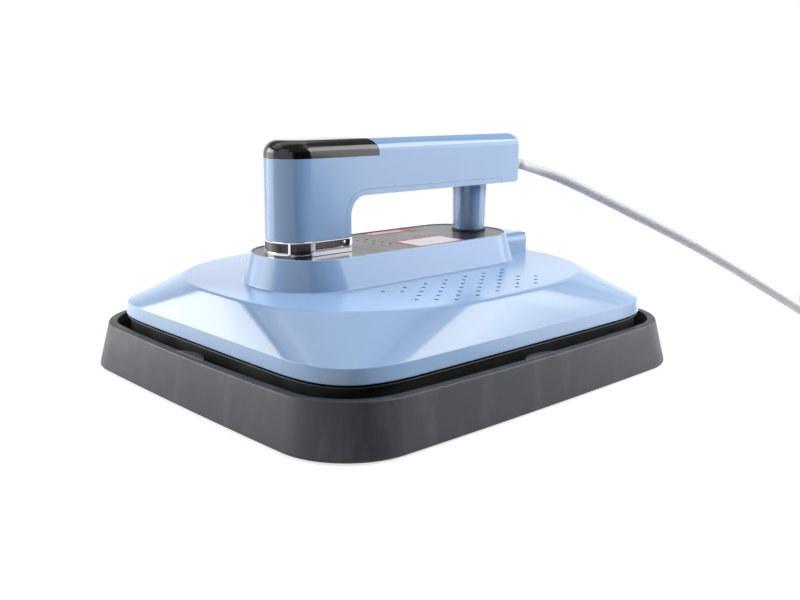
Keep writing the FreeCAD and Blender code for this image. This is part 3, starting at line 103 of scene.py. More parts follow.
def make_lights():
    """Softboxes with soft edges, out of the camera's sight."""
    for name, azimuth, rise, distance, width, height, radiance, along in SOFTBOXES:
        way = pointing(azimuth, rise)
        up = way.cross(pointing(along, 0)).normalized()
        turn = Matrix((up.cross(way), up, way)).transposed()
        for layer, share in enumerate(LAYERS):
            lamp = bpy.data.lights.new(name, "AREA")
            lamp.shape, lamp.size, lamp.size_y = "RECTANGLE", width * share, height * share
            lamp.energy = math.pi * lamp.size * lamp.size_y * radiance / len(LAYERS)
            box = bpy.data.objects.new("%s_%d" % (name, layer), lamp)
            bpy.context.scene.collection.objects.link(box)
            box.matrix_world = Matrix.Translation(Vector(AIM) + way * distance) @ turn.to_4x4()
            box.visible_camera = False


def seen_rays(tree):
    """A socket that is 1 for rays that show the background: straight, mirrored or refracted."""
    path = tree.nodes.new("ShaderNodeLightPath")
    total = path.outputs["Is Camera Ray"]
    for name in ("Is Glossy Ray", "Is Transmission Ray"):
        adder = tree.nodes.new("ShaderNodeMath")
        adder.operation, adder.use_clamp = "ADD", True
        tree.links.new(total, adder.inputs[0])
        tree.links.new(path.outputs[name], adder.inputs[1])
        total = adder.outputs[0]
    return total


def calculated(tree, operation, first, second):
    """A number from two sockets or values."""
    made = tree.nodes.new("ShaderNodeMath")
    made.operation = operation
    for socket, value in zip(made.inputs, (first, second)):
        if isinstance(value, (int, float)):
            socket.default_value = value
        else:
            tree.links.new(value, socket)
    return made.outputs[0]


def faded(tree, value, start, end, low, high):
    """Maps start to end onto low to high with soft ends."""
    made = node(tree, "MapRange", From_Min=start, From_Max=end)
    made.interpolation_type = "SMOOTHSTEP"
    tree.links.new(value, made.inputs["Value"])
    for socket, level in (("To Min", low), ("To Max", high)):
        if isinstance(level, (int, float)):
            made.inputs[socket].default_value = level
        else:
            tree.links.new(level, made.inputs[socket])
    return made.outputs[0]


def vector_node(tree, operation, way, constant=None):
    """A calculation on a vector socket and, if given, a constant vector."""
    made = tree.nodes.new("ShaderNodeVectorMath")
    made.operation = operation
    tree.links.new(way, made.inputs[0])
    if constant is not None:
        made.inputs[1].default_value = constant
    return made


def blended(tree, factor, first, second):
    """A shader between two, by a factor."""
    mix = tree.nodes.new("ShaderNodeMixShader")
    for socket, value in zip(mix.inputs, (factor, first, second)):
        tree.links.new(value, socket)
    return mix.outputs[0]


def backdrop_level(tree, way):
    """White for the camera's own rays, the studio's bright and dark sides for all others."""
    level_way = vector_node(tree, "MULTIPLY", way, (1, 1, 0)).outputs[0]
    flat = vector_node(tree, "NORMALIZE", level_way).outputs[0]
    level = MIRRORED_WHITE
    for azimuth, (start, end), side_level in SIDES:
        facing = vector_node(tree, "DOT_PRODUCT", flat, pointing(azimuth, 0))
        level = faded(tree, facing.outputs["Value"], start, end, level, side_level)
    height = tree.nodes.new("ShaderNodeSeparateXYZ")
    tree.links.new(vector_node(tree, "NORMALIZE", way).outputs[0], height.inputs[0])
    level = faded(tree, height.outputs["Z"], *CEILING_RISE, level, CEILING)
    straight = tree.nodes.new("ShaderNodeLightPath").outputs["Is Camera Ray"]
    return calculated(tree, "ADD", calculated(tree, "MULTIPLY", straight, WHITE),
                      calculated(tree, "MULTIPLY", calculated(tree, "SUBTRACT", 1, straight), level))


def make_world():
    """Dim cool light all round, with the backdrop for the rays that show it."""
    world = bpy.data.worlds.new("studio")
    bpy.context.scene.world = world
    world.use_nodes = True
    tree = world.node_tree
    lit = tree.nodes["Background"]
    lit.inputs["Color"].default_value = AMBIENT_COLOUR
    lit.inputs["Strength"].default_value = AMBIENT
    shown = tree.nodes.new("ShaderNodeBackground")
    shown.inputs["Color"].default_value = (1, 1, 1, 1)
    way = tree.nodes.new("ShaderNodeTexCoord").outputs["Generated"]
    tree.links.new(backdrop_level(tree, way), shown.inputs["Strength"])
    mix = blended(tree, seen_rays(tree), lit.outputs[0], shown.outputs[0])
    tree.links.new(mix, tree.nodes["World Output"].inputs["Surface"])


FLOOR_RADIUS, FLOOR_SEGMENTS = 12.0, 96
# Near the press the floor shows its own glow with the shadow on this shade. Between these distances it
# fades out to the backdrop
FLOOR_GLOW, FLOOR_SHADE, FLOOR_FADE = 0.72, 0.42, (0.22, 0.8)
# The share of the light that the floor sends back to the press
FLOOR_ALBEDO = 0.75


def make_floor():
    """A white sweep that keeps the press's shadow and runs out to the white of the backdrop."""
    mesh = bmesh.new()
    bmesh.ops.create_circle(mesh, cap_ends=True, segments=FLOOR_SEGMENTS, radius=FLOOR_RADIUS)
    floor = from_bmesh("floor", mesh)
    look = bpy.data.materials.new("floor_white")
    look.use_nodes = True
    tree = look.node_tree
    tree.nodes.clear()
    out = tree.nodes.new("ShaderNodeOutputMaterial")
    lit = node(tree, "BsdfDiffuse", Color=(FLOOR_ALBEDO,) * 3 + (1,))
    kept = node(tree, "BsdfDiffuse", Color=(FLOOR_SHADE,) * 3 + (1,))
    glow = node(tree, "Emission", Strength=FLOOR_GLOW)
    near = tree.nodes.new("ShaderNodeAddShader")
    tree.links.new(kept.outputs[0], near.inputs[0])
    tree.links.new(glow.outputs[0], near.inputs[1])
    place = tree.nodes.new("ShaderNodeTexCoord").outputs["Object"]
    white = tree.nodes.new("ShaderNodeEmission")
    tree.links.new(backdrop_level(tree, place), white.inputs["Strength"])
    distance = vector_node(tree, "LENGTH", place).outputs["Value"]
    shown = blended(tree, faded(tree, distance, *FLOOR_FADE, 0, 1), near.outputs[0], white.outputs[0])
    mix = blended(tree, seen_rays(tree), lit.outputs[0], shown)
    tree.links.new(mix, out.inputs["Surface"])
    floor.data.materials.append(look)


# ---------------------------------------------------------------- mesh tools


def from_bmesh(name, mesh):
    """An object of that name from a bmesh, which is used up."""
    bmesh.ops.recalc_face_normals(mesh, faces=mesh.faces)
    data = bpy.data.meshes.new(name)
    mesh.to_mesh(data)
    mesh.free()
    thing = bpy.data.objects.new(name, data)
    bpy.context.scene.collection.objects.link(thing)
    return thing


def between(first, last, steps):
    """The points that divide a straight line into that many steps, without its ends."""
    return [(first[0] + (last[0] - first[0]) * n / steps, first[1] + (last[1] - first[1]) * n / steps)
            for n in range(1, steps)]


# How far short of a right angle a corner's last turn stops, in steps: its tangent has no value there
SHORT_OF_RIGHT = 1e-9
# The most of a straight part that the rounding at one end of it takes up
ROUND_SHARE = 0.48


def ring(half_x, half_y, corner, z, bow=0.0, ease=1.0):
    """A closed plan outline: a rounded rectangle whose sides may bow outward. An ease above 1 starts
    the corner's turn earlier and slower, and keeps the corner's middle where it is. Corners have a
    point at each equal turn of their normal, so the faces between two outlines don't twist."""
    reach_x, reach_y = min(corner * ease, half_x), min(corner * ease, half_y)
    power = -2 * math.log2(1 - (1 - math.sqrt(0.5)) * corner * 2 / (reach_x + reach_y))
    quarter = []
    for n in range(ARC_STEPS + 1):
        turn = math.pi / 2 * min(n, ARC_STEPS - SHORT_OF_RIGHT) / ARC_STEPS
        angle = math.atan((math.tan(turn) * reach_y / reach_x) ** (1 / (2 - power)))
        quarter.append((half_x - reach_x + reach_x * math.cos(angle) ** power,
                        half_y - reach_y + reach_y * math.sin(angle) ** power))
    points = []
    for way_x, way_y in ((1, 1), (-1, 1), (-1, -1), (1, -1)):
        arc = [(way_x * x, way_y * y) for x, y in (quarter if way_x == way_y else reversed(quarter))]
        if points:
            points += between(points[-1], arc[0], SIDE_STEPS)
        points += arc
    points += between(points[-1], points[0], SIDE_STEPS)
    return [Vector((x * (1 + bow / half_x * (1 - (y / half_y) ** 2)),
                    y * (1 + bow / half_y * (1 - (x / half_x) ** 2)), z)) for x, y in points]


def rounded(nodes, steps=ROUND_STEPS):
    """A profile with its corners rounded: rows of sizes whose fourth is z and whose last is the radius."""
    rows = []
    for index, (*sizes, radius) in enumerate(nodes):
        here = Vector(sizes)
        if radius <= 0 or index in (0, len(nodes) - 1):
            rows.append(tuple(here))
            continue
        back, ahead = Vector(nodes[index - 1][:-1]) - here, Vector(nodes[index + 1][:-1]) - here
        back_length, ahead_length = (math.hypot(way[0], way[3]) for way in (back, ahead))
        cosine = (back[0] * ahead[0] + back[3] * ahead[3]) / (back_length * ahead_length)
        half = math.acos(max(-1, min(1, cosine))) / 2
        reach = min(radius / math.tan(half), ROUND_SHARE * back_length, ROUND_SHARE * ahead_length)
        start, end = here + back * (reach / back_length), here + ahead * (reach / ahead_length)
        for n in range(steps + 1):
            t = n / steps
            rows.append(tuple(start * (1 - t) ** 2 + here * (2 * t * (1 - t)) + end * t ** 2))
    return rows


def loft(name, rings, closed=False):
    """Joins outlines of equal counts one to the next, and closes both ends or the first to the last."""
    mesh = bmesh.new()
    rows = [[mesh.verts.new(point * MM) for point in points] for points in rings]
    pairs = list(zip(rows, rows[1:])) + ([(rows[-1], rows[0])] if closed else [])
    for low, high in pairs:
        for n in range(len(low)):
            m = (n + 1) % len(low)
            mesh.faces.new((low[n], low[m], high[m], high[n]))
    if not closed:
        mesh.faces.new(list(reversed(rows[0])))
        mesh.faces.new(rows[-1])
    return from_bmesh(name, mesh)


def shell(name, nodes, closed=False, steps=ROUND_STEPS):
    """A loft through rounded-rectangle outlines given as (half x, half y, corner, z, bow, ease, radius)."""
    return loft(name, [ring(*row) for row in rounded(nodes, steps)], closed)


def prism(name, outline, low, high, axis="y"):
    """A closed outline drawn from low to high along an axis: (x, z) for y, (x, y) for z, (y, z) for x."""
    order = {"y": lambda a, b, c: (a, c, b), "z": lambda a, b, c: (a, b, c), "x": lambda a, b, c: (c, a, b)}
    return loft(name, [[Vector(order[axis](a, b, end)) for a, b in outline] for end in (low, high)])


def arc_points(middle_a, middle_b, radius, start, end, steps=16):
    """Points of an arc in a plane, angles in degrees."""
    turns = [math.radians(start + (end - start) * n / steps) for n in range(steps + 1)]
    return [(middle_a + radius * math.cos(t), middle_b + radius * math.sin(t)) for t in turns]


def lathe(name, profile, origin=(0, 0, 0), along=(0, 0, 1), steps=64):
    """A turned form: (distance along the axis, radius) from one flat end to the other."""
    turns = [2 * math.pi * n / steps for n in range(steps)]
    rows = [[Vector((radius * math.cos(t), radius * math.sin(t), distance)) for t in turns]
            for distance, radius in profile]
    turn = Vector(along).normalized().to_track_quat("Z", "Y")
    return loft(name, [[turn @ point + Vector(origin) for point in row] for row in rows])


def box(name, low, high):
    """A block between two opposite corners."""
    (x0, y0, z0), (x1, y1, z1) = low, high
    return prism(name, [(x0, y0), (x1, y0), (x1, y1), (x0, y1)], z0, z1, "z")


def settle(thing):
    """Applies every modifier."""
    graph = bpy.context.evaluated_depsgraph_get()
    data = bpy.data.meshes.new_from_object(thing.evaluated_get(graph))
    thing.modifiers.clear()
    thing.data = data


def boolean(thing, operation, *tools):
    """Works each tool into a form, and uses the tool up."""
    for tool in tools:
        modifier = thing.modifiers.new("shape", "BOOLEAN")
        modifier.object, modifier.operation, modifier.solver = tool, operation, "EXACT"
        settle(thing)
        bpy.data.objects.remove(tool)
    return thing


def cut(thing, *tools):
    return boolean(thing, "DIFFERENCE", *tools)


def join(thing, *tools):
    return boolean(thing, "UNION", *tools)


def common(thing, *tools):
    return boolean(thing, "INTERSECT", *tools)


def twin(thing, name):
    """A copy with its own mesh."""
    copy = bpy.data.objects.new(name, thing.data.copy())
    bpy.context.scene.collection.objects.link(copy)
    return copy


def bevel(thing, width, segments, angle):
    """Rounds the edges that turn by more than an angle in degrees."""
    modifier = thing.modifiers.new("edges", "BEVEL")
    modifier.width, modifier.segments = width * MM, segments
    modifier.limit_method, modifier.angle_limit = "ANGLE", math.radians(angle)
    modifier.use_clamp_overlap = True
    settle(thing)
    return thing


def merge(name, *things):
    """One object of several meshes that don't touch."""
    mesh = bmesh.new()
    for thing in things:
        mesh.from_mesh(thing.data)
        bpy.data.objects.remove(thing)
    return from_bmesh(name, mesh)


def smooth(thing, angle=32):
    """Smooth shading up to an angle, with flat faces kept flat."""
    for face in thing.data.polygons:
        face.use_smooth = True
    thing.data.set_sharp_from_angle(angle=math.radians(angle))
    weighted = thing.modifiers.new("normals", "WEIGHTED_NORMAL")
    weighted.keep_sharp, weighted.weight = True, 100
    return thing


def finish_piece(thing, look, body, slot, *nodes, angle=32):
    """Shades a piece, gives it its material and body, and hides the solids that it stands for."""
    if not thing.data.materials:
        thing.data.materials.append(looks[look])
    smooth(thing, angle)
    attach(thing, body)
    if nodes:
        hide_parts(*nodes)
    return thing


# ---------------------------------------------------------------- materials


def linear(red, green, blue):
    """Linear light from sRGB numbers of 0 to 255."""
    parts = [part / 255 for part in (red, green, blue)]
    return tuple(p / 12.92 if p <= 0.04045 else ((p + 0.055) / 1.055) ** 2.4 for p in parts) + (1,)


def node(tree, kind, **values):
    """A shader node with its inputs set by name, spaces written as underscores."""
    made = tree.nodes.new("ShaderNode" + kind)
    for name, value in values.items():
        made.inputs[name.replace("_", " ")].default_value = value
    return made


def noise(tree, place, scale, detail, roughness, stretch):
    """Noise in the object's own space, scale per metre, with each axis stretched by a factor."""
    mapping = node(tree, "Mapping", Scale=stretch)
    tree.links.new(place, mapping.inputs["Vector"])
    made = node(tree, "TexNoise", Scale=scale, Detail=detail, Roughness=roughness)
    tree.links.new(mapping.outputs[0], made.inputs["Vector"])
    return made.outputs["Fac"]


def spread(tree, value, low, high, start, end):
    """Maps a noise's range start to end onto low to high."""
    made = node(tree, "MapRange", From_Min=start, From_Max=end, To_Min=low, To_Max=high)
    tree.links.new(value, made.inputs["Value"])
    return made.outputs[0]


def mixed(tree, factor, under, over):
    """A colour between two, by a factor. The one under may be a socket."""
    mix = tree.nodes.new("ShaderNodeMix")
    mix.data_type = "RGBA"
    tree.links.new(factor, mix.inputs[0])
    if isinstance(under, tuple):
        mix.inputs[6].default_value = under
    else:
        tree.links.new(under, mix.inputs[6])
    mix.inputs[7].default_value = over
    return mix.outputs[2]


REFRACTION = 1.5
# Where most values of a noise lie
NOISE_RANGE = (0.3, 0.7)
# Detail and roughness of the noises for blotches, for uneven gloss and for grain
BLOTCH_NOISE, GLOSS_NOISE, GRAIN_NOISE = (4.0, 0.55), (3.0, 0.5), (2.0, 0.5)
# Scale, detail, roughness and stretch of the rubs, the most of their colour that shows, and the part of
# the noise in which it comes in
SCUFF_NOISE, SCUFF_MOST, SCUFF_RANGE = (46.0, 5.0, 0.62, (1, 1, 0.16)), 0.46, (0.52, 0.78)


def surface(name, colour, shade, rough, grain, bump, depth, blotch=18.0, rough_scale=60.0,
            stretch=(1, 1, 1), metallic=0.0, specular=0.5, scuff=None):
    """A procedural material: blotchy colour, uneven roughness and a fine grain in relief.
    shade is the second colour of the blotches, scuff a colour for upright rubs."""
    colour, shade = linear(*colour), linear(*shade)
    look = bpy.data.materials.new(name)
    look.use_nodes = True
    tree = look.node_tree
    shader = tree.nodes["Principled BSDF"]
    place = tree.nodes.new("ShaderNodeTexCoord").outputs["Object"]
    shader.inputs["Metallic"].default_value = metallic
    shader.inputs["IOR"].default_value = REFRACTION
    shader.inputs["Specular IOR Level"].default_value = specular
    blotches = noise(tree, place, blotch, *BLOTCH_NOISE, stretch)
    tint = mixed(tree, spread(tree, blotches, 0, 1, *NOISE_RANGE), colour, shade)
    if scuff:
        rubs = noise(tree, place, *SCUFF_NOISE)
        tint = mixed(tree, spread(tree, rubs, 0, SCUFF_MOST, *SCUFF_RANGE), tint, linear(*scuff))
    tree.links.new(tint, shader.inputs["Base Color"])
    uneven = noise(tree, place, rough_scale, *GLOSS_NOISE, stretch)
    tree.links.new(spread(tree, uneven, *rough, *NOISE_RANGE), shader.inputs["Roughness"])
    relief = node(tree, "Bump", Strength=bump, Distance=depth * MM)
    tree.links.new(noise(tree, place, grain, *GRAIN_NOISE, stretch), relief.inputs["Height"])
    tree.links.new(relief.outputs[0], shader.inputs["Normal"])
    return look


# Materials: name, colour, second colour of its blotches, roughness from and to, grain per metre, its
# strength and its depth, and what else departs from the usual. Colours are sRGB numbers of 0 to 255
LOOKS = (
    ("blue_plastic", (134, 163, 199), (130, 160, 197), (0.18, 0.21), 260, 0.012, 0.3,
     dict(blotch=9, rough_scale=25, specular=0.62)),
    ("blue_grip", (130, 160, 196), (126, 157, 194), (0.08, 0.11), 260, 0.012, 0.3,
     dict(blotch=9, rough_scale=25, specular=0.62)),
    ("tray_plastic", (31, 34, 43), (27, 30, 38), (0.4, 0.5), 2600, 0.1, 0.15,
     dict(blotch=14, scuff=(80, 84, 95))),
    ("black_gloss", (13, 12, 17), (17, 16, 21), (0.24, 0.3), 1200, 0.01, 0.1,
     dict(rough_scale=40, specular=0.31)),
    ("cap_gloss", (5, 5, 7), (7, 7, 9), (0.09, 0.13), 400, 0.01, 0.2, dict(rough_scale=40, specular=0.5)),
    ("black_plastic", (12, 12, 14), (17, 17, 19), (0.36, 0.46), 2400, 0.08, 0.1, {}),
    ("rocker_black", (14, 14, 16), (18, 18, 20), (0.2, 0.28), 1600, 0.04, 0.1, {}),
    ("rubber_dark", (30, 31, 34), (36, 37, 40), (0.6, 0.75), 1800, 0.15, 0.15, {}),
    ("mat_silicone", (96, 98, 103), (88, 90, 96), (0.5, 0.6), 1500, 0.2, 0.2, {}),
    ("chrome", (226, 227, 232), (220, 221, 227), (0.06, 0.1), 500, 0.01, 0.1,
     dict(rough_scale=80, metallic=1.0)),
    # Painted reflection: dark metal with upright bronze streaks stands in for the dark surroundings that
    # the chrome mirrors
    ("chrome_painted_reflection", (30, 30, 36), (98, 92, 96), (0.22, 0.34), 700, 0.05, 0.1,
     dict(blotch=55, stretch=(1, 1, 0.04), metallic=1.0)),
    ("plate_aluminium", (205, 206, 210), (196, 197, 202), (0.26, 0.36), 1500, 0.06, 0.1,
     dict(metallic=1.0)),
    ("plate_coat", (60, 58, 58), (52, 50, 50), (0.32, 0.42), 3000, 0.15, 0.1, {}),
    ("steel", (186, 187, 191), (170, 171, 176), (0.25, 0.38), 1200, 0.05, 0.1,
     dict(metallic=1.0, stretch=(1, 0.1, 1))),
    ("insulation", (222, 219, 206), (208, 204, 190), (0.85, 0.95), 700, 0.6, 0.8, dict(blotch=40)),
    ("board_green", (34, 96, 60), (28, 86, 52), (0.3, 0.4), 900, 0.05, 0.1, dict(blotch=60)),
    ("display_dark", (22, 25, 30), (26, 30, 36), (0.08, 0.12), 400, 0.01, 0.1, {}),
    ("nylon_white", (226, 226, 222), (218, 218, 213), (0.4, 0.5), 900, 0.05, 0.1, {}),
    ("component_yellow", (216, 190, 82), (204, 178, 70), (0.4, 0.5), 900, 0.1, 0.2, {}),
    ("component_can", (150, 158, 176), (140, 148, 168), (0.25, 0.35), 600, 0.03, 0.1, dict(metallic=1.0)),
    ("lead_sleeve", (210, 210, 206), (200, 200, 196), (0.5, 0.6), 1200, 0.1, 0.1, {}),
    ("brass_tin", (200, 178, 112), (186, 164, 98), (0.25, 0.35), 900, 0.05, 0.1, dict(metallic=1.0)),
    ("pin_metal", (208, 202, 190), (198, 191, 178), (0.18, 0.28), 1200, 0.04, 0.1,
     dict(metallic=1.0, stretch=(0.2, 0.2, 1))),
    ("cord_grey", (210, 210, 214), (202, 202, 207), (0.36, 0.46), 1400, 0.12, 0.2, dict(blotch=30)),
    ("label_white", (226, 224, 226), (214, 212, 215), (0.35, 0.45), 1600, 0.03, 0.05, dict(blotch=160)),
    ("label_red", (190, 30, 42), (176, 24, 36), (0.35, 0.45), 1600, 0.03, 0.05, {}),
    ("label_pink", (214, 168, 170), (206, 150, 152), (0.35, 0.45), 1600, 0.03, 0.05, dict(blotch=90)),
)
looks = {name: surface(name, *values, **rest) for name, *values, rest in LOOKS}


def dress_nodes():
    """Gives every solid that stays in view its finished material."""
    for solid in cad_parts.values():
        for place in solid.material_slots:
            place.material = looks[place.material.name.split(".")[0]]


# ---------------------------------------------------------------- cover, deck and vents

# Closed skin of the cover, from the roof inside round its lower edge to the seat of the deck panel:
# half length, half width, corner, height, bow, ease, radius of the edge
COVER = (
    (107.2, 36.5, 32.0, 85.2, 0, 1, 0),
    (112.0, 43.9, 39.5, 67.0, 0, 1, 0),
    (140.5, 119.0, 103.0, 67.0, 0, 2, 2),
    (154.2, 133.45, 43.7, 46.4, 0, 2, 0),
    (155.5, 134.75, 45.0, 38.5, 0, 2, 0.4),
    (158.0, 137.25, 47.5, 38.5, 0, 2, 0.7),
    (156.7, 135.95, 46.2, 47.7, 0, 2, 1.6),
    (143.5, 122.0, 106.0, 69.5, 0, 2, 3.0),
    (114.5, 46.4, 42.0, 69.5, 0, 1, 1.5),
    (109.7, 39.0, 34.5, 90.2, 0, 1, 1.3),
    (108.4, 37.7, 33.2, 90.2, 0, 1, 0.2),
    (108.4, 37.7, 33.2, 87.7, 0, 1, 0),
)
DECK_TOP = 69.5
VENT_ROWS = (7, 6, 5, 6, 7, 6, 5)
VENT_RADIUS, VENT_PITCH_X, VENT_PITCH_Y, VENT_FIRST_Y = 1.6, 19.6, 7.9, 61.0
# A vent's drill with its countersink: height above the deck and radius beyond the vent's
VENT_DRILL = ((-6, -0.1), (-0.4, -0.1), (1, 1.0))
BOSS_START, BOSS_END, BOSS_HALF, BOSS_ROUND = 92.0, 136.0, 21.0, 6.5
BOSS_FOOT, BOSS_TOP = 66.5, 85.6
SWITCH_HEIGHT = 77.5
OPENING_START, OPENING_END, OPENING_HALF, OPENING_RISE = 100, 140, 16.8, 6.9


def vent_drills():
    """One mesh of all the drills, since none touches another."""
    drills = []
    profile = [(DECK_TOP + rise, VENT_RADIUS + more) for rise, more in VENT_DRILL]
    for row, count in enumerate(VENT_ROWS):
        for column in range(count):
            x = VENT_PITCH_X * (column - (count - 1) / 2)
            for side in (1, -1):
                y = side * (VENT_FIRST_Y + VENT_PITCH_Y * row)
                drills.append(lathe("drill", profile, (x, y, 0), steps=20))
    return merge("drills", *drills)


def make_cover():
    """The pressed cover with the switch's boss and the deck's vents."""
    cover = shell("cover", COVER)
    section = ([(-BOSS_HALF, BOSS_FOOT), (BOSS_HALF, BOSS_FOOT)]
               + arc_points(BOSS_HALF - BOSS_ROUND, BOSS_TOP - BOSS_ROUND, BOSS_ROUND, 0, 90, 10)
               + arc_points(BOSS_ROUND - BOSS_HALF, BOSS_TOP - BOSS_ROUND, BOSS_ROUND, 90, 180, 10))
    boss = prism("boss", section, BOSS_START, BOSS_END, "x")
    bevel(boss, 1.6, 4, 60)
    join(cover, boss)
    opening = box("opening", (OPENING_START, -OPENING_HALF, SWITCH_HEIGHT - OPENING_RISE),
                  (OPENING_END, OPENING_HALF, SWITCH_HEIGHT + OPENING_RISE))
    cut(cover, opening, vent_drills())
    finish_piece(cover, "blue_plastic", "press", "blue_plastic", "top_cover", angle=38)


# ---------------------------------------------------------------- handle

NOSE_X, HALF_WIDTH, HANDLE_END = -83.8, 19.7, 125.7
POST_FOOT, HANDLE_TOP, TOP_ROUND, END_ROUND = 100.0, 165.4, 9.5, 4.0
POST_REAR, UNDERSIDE, ARCH_ROUND, TAIL_ROUND = -50.2, 127.3, 13.0, 6.0
LINER, LINER_END, SEAM = 4.0, 103.0, 0.05
CAP_FOOT, CAP_END, CAP_TOP_END = 153.8, -25.0, -35.0
# Steps of the top's rounding, and the share of it by which the rear end leans in
TOP_STEPS, END_LEAN = 12, 0.62
# How far the tools reach past the handle: across it, below the post's foot and beyond its end
ACROSS, ARCH_BELOW, LINER_BELOW, ARCH_BEYOND = 30, 3, 5, 20
# The tool for the control end: its front, its top, and the bend of its rear edge
CAP_FRONT, CAP_ABOVE = -130, 167.5
CAP_STEPS, CAP_BEND_RISE, CAP_BEND_IN, CAP_BEND_MIDDLE = 10, 3.5, 0.3, 163.5
REAR_POST_X, REAR_POST_FOOT, REAR_POST_STEPS = 88, 91.0, 8
REAR_POST_RADIUS, REAR_POST_FLARE = 12.7, 0.7
# A dark rubber ring at the rear post's foot; its dark colour is also painted shade, standing in for the
# shadow and reflection where the post meets the panel
REAR_SEAL_AND_SHADE = ((89.7, 13.2), (89.9, 13.4), (90.6, 13.4), (91.0, 13.0))


def handle_ring(inset, z, end_inset):
    """Plan of the handle: a half-round nose, straight sides and a square end with round corners."""
    half = HALF_WIDTH - inset
    end = HANDLE_END - end_inset
    corner = min(END_ROUND + 0.2 * inset, half - 0.5)
    points = arc_points(NOSE_X, 0, half, 90, 270, 48)
    points += between(points[-1], (end - corner, -half), 10)
    points += arc_points(end - corner, -half + corner, corner, -90, 0, 10)
    points += arc_points(end - corner, half - corner, corner, 0, 90, 10)
    points += between(points[-1], points[0], 10)
    return [Vector((x, y, z)) for x, y in points]


def handle_form():
    """The whole handle with its arch, before it is split along its seams."""
    rings = [handle_ring(0, POST_FOOT, 0)]
    for n in range(TOP_STEPS + 1):
        turn = math.pi / 2 * n / TOP_STEPS
        inset = TOP_ROUND * (1 - math.cos(turn))
        height = HANDLE_TOP - TOP_ROUND + TOP_ROUND * math.sin(turn)
        rings.append(handle_ring(inset, height, inset * END_LEAN))
    form = loft("handle", rings)
    low, far = POST_FOOT - ARCH_BELOW, HANDLE_END + ARCH_BEYOND
    arch = ([(POST_REAR, low)]
            + arc_points(POST_REAR + ARCH_ROUND, UNDERSIDE - ARCH_ROUND, ARCH_ROUND, 180, 90, 14)
            + arc_points(HANDLE_END - TAIL_ROUND, UNDERSIDE + TAIL_ROUND, TAIL_ROUND, -90, 0, 8)
            + [(far, UNDERSIDE + TAIL_ROUND), (far, low)])
    cut(form, prism("arch", arch, -ACROSS, ACROSS))
    return bevel(form, 1.5, 4, 50)


def liner_zone(grow):
    """The strip of the handle that lines the arch, in side view."""
    left, top, end = POST_REAR - LINER - grow, UNDERSIDE + LINER + grow, LINER_END + grow
    low, radius = POST_FOOT - LINER_BELOW, ARCH_ROUND + LINER + grow
    outline = ([(left, low)] + arc_points(left + radius, top - radius, radius, 180, 90, 16)
               + [(end, top), (end, low)])
    return prism("liner_zone", outline, -ACROSS, ACROSS)


def cap_zone(grow):
    """The control end's share of the handle, with its rounded rear edge."""
    foot, end, top = CAP_FOOT - grow, CAP_END + grow, CAP_TOP_END + grow
    bend = []
    for n in range(CAP_STEPS + 1):
        t = n / CAP_STEPS
        first, middle, last = (1 - t) ** 2, 2 * t * (1 - t), t ** 2
        bend.append((end * first + middle * (end - CAP_BEND_IN) + top * last,
                     (CAP_FOOT + CAP_BEND_RISE) * first + middle * CAP_BEND_MIDDLE + CAP_ABOVE * last))
    outline = [(CAP_FRONT, foot), (end, foot)] + bend + [(CAP_FRONT, CAP_ABOVE)]
    return prism("cap_zone", outline, -ACROSS, ACROSS)


def make_handle():
    """The handle's body, the strip in its arch and its control end, split along their seams."""
    form = handle_form()
    liner, cap = twin(form, "handle_liner_strip"), twin(form, "control_end")
    form.name = "handle_body"
    cut(form, liner_zone(SEAM), cap_zone(SEAM))
    common(liner, liner_zone(-SEAM))
    common(cap, cap_zone(-SEAM))
    for thing in (form, liner, cap):
        bevel(thing, 0.22, 2, 60)
    finish_piece(form, "blue_grip", "press", "blue_plastic", "handle_shell")
    finish_piece(liner, "blue_grip", "press", "blue_plastic", "handle_liner")
    finish_piece(cap, "cap_gloss", "press", "black_gloss", "control_cap")


def make_rear_post():
    """The tapered post under the grip, with a fillet at its head and a dark rubber ring at its foot, which
    also paints the shadow and dark reflection there.
    """
    foot, head = REAR_POST_FOOT, UNDERSIDE + 0.4
    profile = [(foot, 12.0), (foot + 0.3, 12.55), (foot + 1.0, REAR_POST_RADIUS)]
    profile += [(foot + 1 + (head - foot - 3) * n / REAR_POST_STEPS,
                 REAR_POST_RADIUS + REAR_POST_FLARE * n / REAR_POST_STEPS)
                for n in range(1, REAR_POST_STEPS + 1)]
    profile += [(head - 1.2, 13.5), (head - 0.5, 13.9), (head, 14.6)]
    post = lathe("rear_column", profile, (REAR_POST_X, 0, 0), steps=72)
    finish_piece(post, "blue_grip", "press", "blue_plastic", "rear_post")
    # Partly a rubber seal, partly painted shadow and reflection at the post's foot
    seal = lathe("column_seal_and_shade", REAR_SEAL_AND_SHADE, (REAR_POST_X, 0, 0))
    finish_piece(seal, "rubber_dark", "press", "rubber_dark", "post_gasket")


# ---------------------------------------------------------------- collar, labels and switch


# The collar's skin: distance out from the handle's side, and height
COLLAR = ((0.0, 89.7), (0.3, 90.0), (0.3, 99.4), (-0.2, 100.0))
# The sunk panels: their top and how far out their tools reach; start and end in degrees, radius of the
# floor and foot of the one round the nose; the same for the two beside it, counted from the nose; and
# section and span of the two along the flat sides
SUNK_TOP, SUNK_REACH = 98.8, 24
FRONT_START, FRONT_END, FRONT_RADIUS, FRONT_FOOT = 139, 221, 18.7, 92.0
CHEEK_START, CHEEK_END, CHEEK_RADIUS, CHEEK_FOOT = 46, 86, 19.3, 91.2
SIDE_SECTION = ((24, 98.6), (18.2, 98.6), (18.2, 94.4), (20.2, 92.4), (24, 92.6))
SIDE_START, SIDE_END = -81.6, -52.0
# The studs at the collar's rear: profile across the sides, and place
STUD, STUD_X, STUD_Z = ((17.8, 1.3), (19.0, 1.3), (19.5, 0.95), (19.7, 0.3)), -56.5, 96.9


